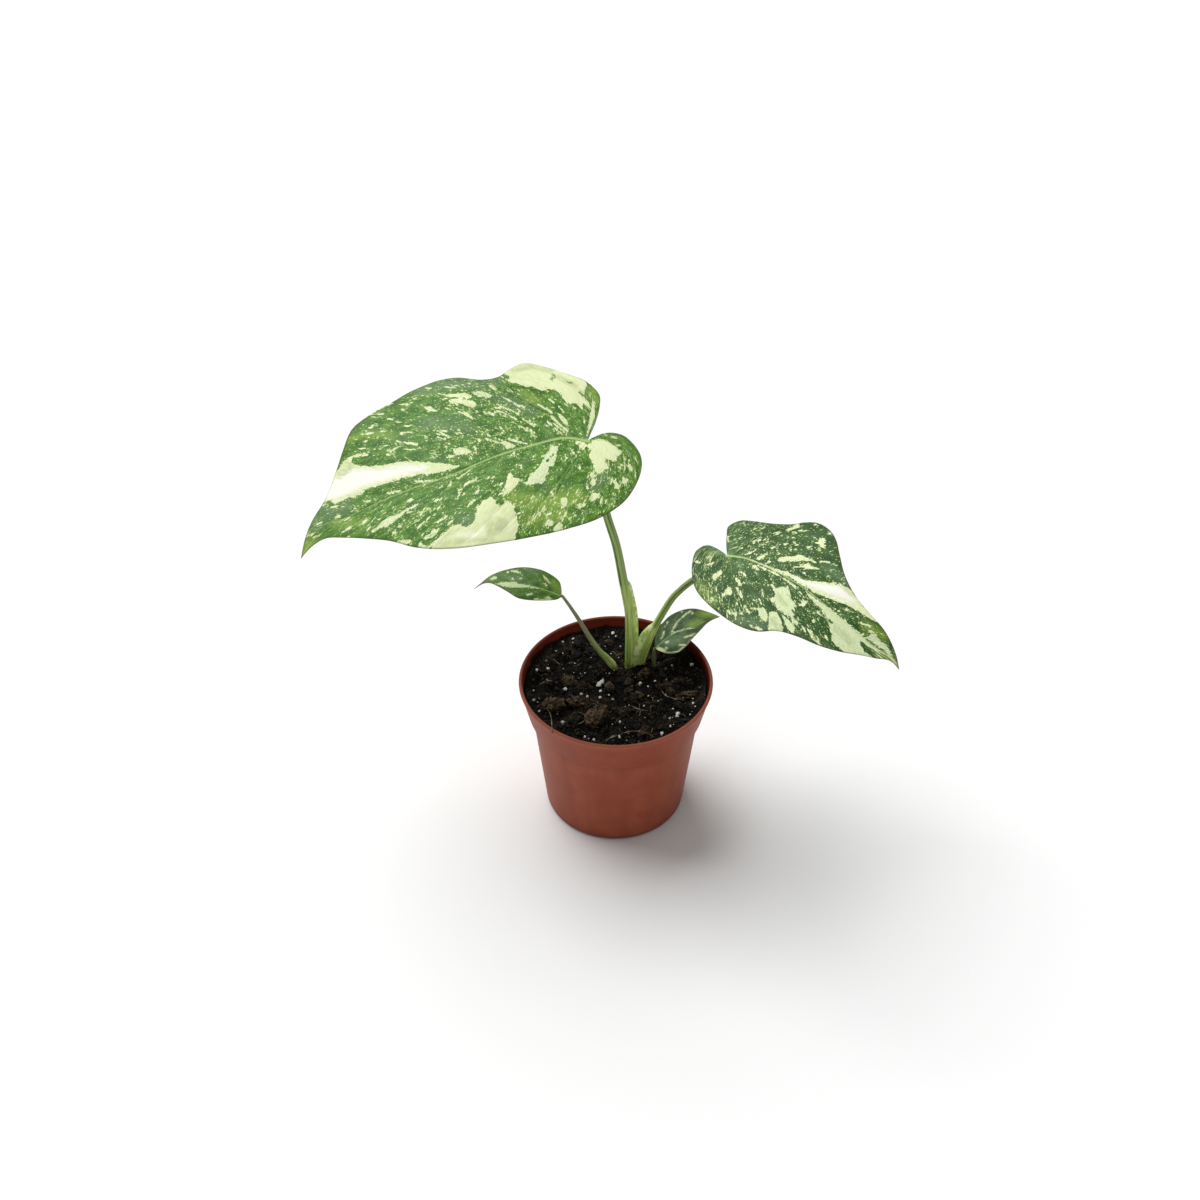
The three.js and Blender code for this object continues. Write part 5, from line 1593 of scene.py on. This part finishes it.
# %% Paths from the CAD
def under_blade(form):
    """Where a large leaf's stalk ends, and which way its end faces."""
    one = np.array([1.0])
    normal = form.normal(one, form.rib(one))[0]
    return form.place(one, np.array([0.0]))[0] - normal * (0.45 + form.rib_depth + GAP), normal


def into_base(form):
    """The same for a small leaf, whose stalk meets the blade's end head on."""
    facing = form.direction(np.array([0.0]))[0]
    return form.place(np.array([0.0]), np.array([0.0]))[0] - facing * GAP, facing


# Each row is a point of the stalk's middle line, its radius, and how far the sheath
# stands out. side is the way the sheath faces.
STALKS = {
    "large_left": dict(
        rows=[(9, 22, 74, 3, 0), (9, 22, 86, 3.4, 0.4), (8.8, 22.1, 96, 3.3, 1),
              (8.6, 22.3, 108, 3.1, 1.7), (8.1, 22.8, 123, 2.9, 1.9), (6.4, 23.3, 135, 2.8, 1.8),
              (4.6, 23.7, 145, 2.7, 1.5), (3.9, 23.9, 149, 2.7, 0), (0, 25, 172, 2.5, 0),
              (-5.3, 26.2, 192, 2.4, 0), (-10.6, 28, 216, 2.2, 0)],
        side=(1, -0.25, 0), end=under_blade(LARGE_LEFT), run=7, radius=2.2, rise=1.1),
    "large_right": dict(
        rows=[(15, 22, 74, 2.4, 0), (15.2, 22, 86, 2.6, 2.6), (17, 21.7, 95, 2.5, 4.6),
              (18.9, 21.5, 102, 2.4, 5.6), (20.8, 21.1, 109, 2.3, 5), (22.8, 20.8, 115, 2.2, 2.8),
              (24.5, 20.5, 119.8, 2.1, 0), (31.4, 19.5, 136.4, 2, 0), (36.6, 19, 144.6, 1.9, 0),
              (43.4, 18.1, 152.6, 1.9, 0), (51.5, 16.8, 159.8, 1.9, 0)],
        side=(-0.85, -0.5, 0.3), end=under_blade(LARGE_RIGHT), run=6, radius=1.9, rise=1.1),
    "small_left": dict(
        rows=[(1.6, 17.4, 79, 1.5, 0), (-2.6, 18.2, 87, 1.6, 1.8), (-6, 18.9, 92.4, 1.6, 1.3),
              (-10, 19.8, 97.8, 1.6, 0.3), (-16.1, 22, 107.7, 1.5, 0), (-22.2, 25, 118.5, 1.2, 0)],
        side=(1, 0, 0.4), end=into_base(SMALL_LEFT), run=1.2, radius=0.9, rise=0.8),
    "small_right": dict(
        rows=[(23, 18.5, 78, 1.1, 0), (23, 19, 86, 1.1, 0), (23, 20, 91, 1, 0)],
        side=(1, 0, 0), end=into_base(SMALL_RIGHT), run=0.8, radius=0.9, rise=0.8)}

# %% Stalk sections
STALK_STEPS = 10
STALK_SIDES = 48
STALK_RIBS = 9
WING_NARROWNESS = 3.0
WIDEST_WING = 5.6


def add_stalk(bm, spec, round_mark, wing_mark):
    """Adds one stalk, closed below in the soil and above just inside its blade's end."""
    place, facing = spec["end"]
    rows = list(spec["rows"])
    rows.append((*(place - facing * spec["run"]), spec["radius"], 0))
    rows.append((*(place + facing * spec["rise"]), 0.9 * spec["radius"], 0))
    curve = smooth_curve(rows, STALK_STEPS)
    centres, radii, wings = curve[:, :3], curve[:, 3], np.maximum(curve[:, 4], 0)
    before = len(bm.verts)

    def radius_at(row, turn):
        fold = wings[row] * max(math.cos(turn), 0) ** WING_NARROWNESS
        from_back = abs(turn - math.pi)
        channel = 0.10 * radii[row] * math.exp(-(from_back / 0.5) ** 2)
        crease = 0.28 * min(wings[row], 1.5) * math.exp(-((from_back - 2.25) / 0.22) ** 2)
        ribs = 0.035 * radii[row] * math.cos(STALK_RIBS * turn)
        return radii[row] + fold - channel - crease + ribs

    tube(bm, centres, radius_at, Vector(spec["side"]), STALK_SIDES, round_mark)
    bm.verts.ensure_lookup_table()
    for vert in bm.verts[before:]:
        row = int(np.argmin(np.linalg.norm(centres - np.array(vert.co) / MM, axis=1)))
        vert[wing_mark] = min(wings[row], WIDEST_WING) / WIDEST_WING


def stalks(*names):
    """A mesh of these stalks, and its layer for the place round and along them."""
    bm = bmesh.new()
    bm.verts.layers.float_vector.new("round")
    wing_mark = bm.verts.layers.float.new("wing")
    round_mark = bm.verts.layers.float_vector["round"]
    for name in names:
        add_stalk(bm, STALKS[name], round_mark, wing_mark)
    bmesh.ops.recalc_face_normals(bm, faces=bm.faces)
    return bm, round_mark


# %% [markdown]
# ## Stalk green
# The stalks are a waxy yellow-green with darker, hair-thin grooves. A pale seam
# runs along the large ones, and the rim of the sheath is mottled like the leaves.
# The round attribute holds the place round and along the stalk, so the noise can be
# stretched lengthwise on every bend. Near the soil the colour turns to cream, and
# there and on the sheath it is painted paler still as painted light, where the
# leaves shade it. The small left stalk is browner and greys towards its leaf; the
# right one is grey-brown.

# %% Stalk finish
CREAM_BASE_PAINTED_PALER = (0.1, 0.16)
SOILED_BASE = (0.0855, 0.0895)
GREYING = 0.02


def stalk_finish(name, main, pale, deep, edge_light, grey_from):
    """edge_light is how strongly the pale seam, base and sheath rim show. Above
    grey_from, in metres, the stalk turns grey."""
    f = Finish(name)
    around = f.attribute("round", "Vector")
    wing = f.attribute("wing")
    streaks = f.clouds(f.stretched(around, (2.4, 2.4, 0.35)), 2.2, 3, 0.6)
    fine = f.clouds(f.stretched(around, (9, 9, 0.8)), 2.0, 3, 0.6)
    height = f.part(f.place(), "Z")
    front = f.part(around, "X")
    color = f.mix(streaks.between(0.42, 0.58), main, pale)
    color = f.mix(fine.between(0.48, 0.64) * 0.7, color, deep)
    stripes = f.clouds(f.stretched(around, (3, 3, 0.06)), 1.0, 1).between(0.46, 0.6)
    color = f.mix(stripes, f.mix(0.75, color, deep), f.mix(0.6, color, pale))
    rind = front.size().between(0.8, 1.0) * (1 - wing.between(0.0, 0.1))
    color = f.mix(rind * 0.45, color, tone(118, 116, 88))
    seam = front.between(-0.97, -0.9) * (1 - front.between(-0.75, -0.6))
    color = f.mix(seam * 0.75 * edge_light, color, tone(206, 220, 160))
    # Partly painted light: near the soil the stalk turns cream, painted paler still where the
    # leaves shade it.
    base = (1 - height.between(*CREAM_BASE_PAINTED_PALER)) * edge_light
    cream_painted_paler = f.mix(stripes, tone(138, 178, 66), tone(224, 242, 150))
    color = f.mix(base * 0.85, color, cream_painted_paler)
    greyed = height.between(grey_from, grey_from + GREYING)
    color = f.mix(greyed * 0.8, color, tone(148, 142, 122))
    # Partly painted light: the sheath's cream-green is painted paler where the leaves shade it.
    blotched = f.clouds(f.stretched(around, (2, 2, 0.5)), 1.4, 3, 0.65).between(0.42, 0.58)
    sheath = f.mix(blotched, tone(168, 200, 86), tone(222, 238, 146))
    color = f.mix(wing.between(0.05, 0.5) * 0.85, color, sheath)
    mottle = f.clouds(f.place(), 330, 3, 0.6).between(0.4, 0.58)
    rim = front.between(0.84, 0.97) * wing.between(0.02, 0.25) * edge_light
    color = f.mix(rim, color, f.mix(mottle, tone(184, 216, 100), tone(240, 250, 186)))
    soiled = (1 - height.between(*SOILED_BASE)) * fine.between(0.3, 0.55)
    color = f.mix(soiled * 0.8, color, tone(60, 48, 34))
    relief = f.bump(fine + streaks * 0.4, 0.0003, 0.8)
    return f.finished(color, fine * 0.2 + 0.34, relief, shine=0.3)


# %% Three greens of the stalks
NEVER_GREY = 0.3
STALK_GREEN = stalk_finish("waxy_stalk_green", tone(96, 130, 50), tone(174, 200, 114),
                           tone(62, 88, 34), 1.0, NEVER_GREY)
STALK_BROWN = stalk_finish("thin_brown_green_stalk", tone(96, 116, 52), tone(138, 150, 78),
                           tone(84, 72, 50), 0.6, 0.094)
STALK_GREY = stalk_finish("grey_brown_stalk", tone(78, 80, 50), tone(104, 104, 70),
                          tone(56, 52, 38), 0.2, NEVER_GREY)

# %% Crown and the two large stalks
CROWN_MIDDLE = (12, 22, 81.5)
CROWN_RADII = (7.3, 4.5, 9.4)
CROWN_RIBS = 7


def crown_and_stalks():
    """Both stalks and the lumpy crown between their feet."""
    bm, round_mark = stalks("large_left", "large_right")
    crown = bmesh.ops.create_uvsphere(bm, u_segments=40, v_segments=24, radius=1)["verts"]
    for vert in crown:
        turn = math.atan2(vert.co.y, vert.co.x)
        swell = 1 + 0.03 * math.cos(CROWN_RIBS * turn) + 0.06 * noise.noise(vert.co * 2)
        vert[round_mark] = Vector((math.cos(turn), math.sin(turn), vert.co.z))
        vert.co = Vector([middle + radius * part * growth for middle, radius, part, growth
                          in zip(CROWN_MIDDLE, CROWN_RADII, vert.co, (swell, swell, 1))]) * MM
    bmesh.ops.recalc_face_normals(bm, faces=bm.faces)
    return bm


add_piece(crown_and_stalks(), "crown_and_large_stalks", STALK_GREEN, "stalk_green",
          "stem_crown")

# %% Small stalks
for place, finish in (("small_left", STALK_BROWN), ("small_right", STALK_GREY)):
    add_piece(stalks(place)[0], place + "_stalk", finish, "stalk_green", "stalk_" + place)

# %% [markdown]
# ## Floor and light
# The floor is a plain white sheet that melts into a white backdrop. One very large
# soft light stands high on the left, a little behind the plant, so the pot throws
# one soft shadow to the right. A plain white sky fills the shade.

# %% Floor
FLOOR_REACH = 40


def floor_finish():
    f = Finish("white_paper_floor")
    paper = f.clouds(f.place(), 3, 3)
    return f.finished(f.mix(paper, tone(243, 243, 243), tone(246, 246, 246)), 0.95, shine=0.1)


floor_bm = bmesh.new()
bmesh.ops.create_grid(floor_bm, x_segments=1, y_segments=1, size=FLOOR_REACH)
floor = loose_object(floor_bm, "studio_floor")
floor.data.materials.append(floor_finish())

# %% Light
KEY_PLACE = Vector((-1.6, 1.7, 3.8))
KEY_AIM = Vector((0, 0, 0.08))
KEY_SPREAD = 50
KEY_POWER = 3.05
SKY_POWER = 0.33

key_data = bpy.data.lights.new("key_from_the_left", "SUN")
key_data.angle = math.radians(KEY_SPREAD)
key_data.energy = KEY_POWER
key = bpy.data.objects.new("key_from_the_left", key_data)
key.location = KEY_PLACE
key.rotation_euler = (KEY_AIM - KEY_PLACE).to_track_quat("-Z", "Y").to_euler()
bpy.context.collection.objects.link(key)

world = bpy.data.worlds.new("white_studio")
world.use_nodes = True
sky = world.node_tree.nodes["Background"]
sky.inputs["Color"].default_value = (1, 1, 1, 1)
sky.inputs["Strength"].default_value = SKY_POWER
bpy.context.scene.world = world
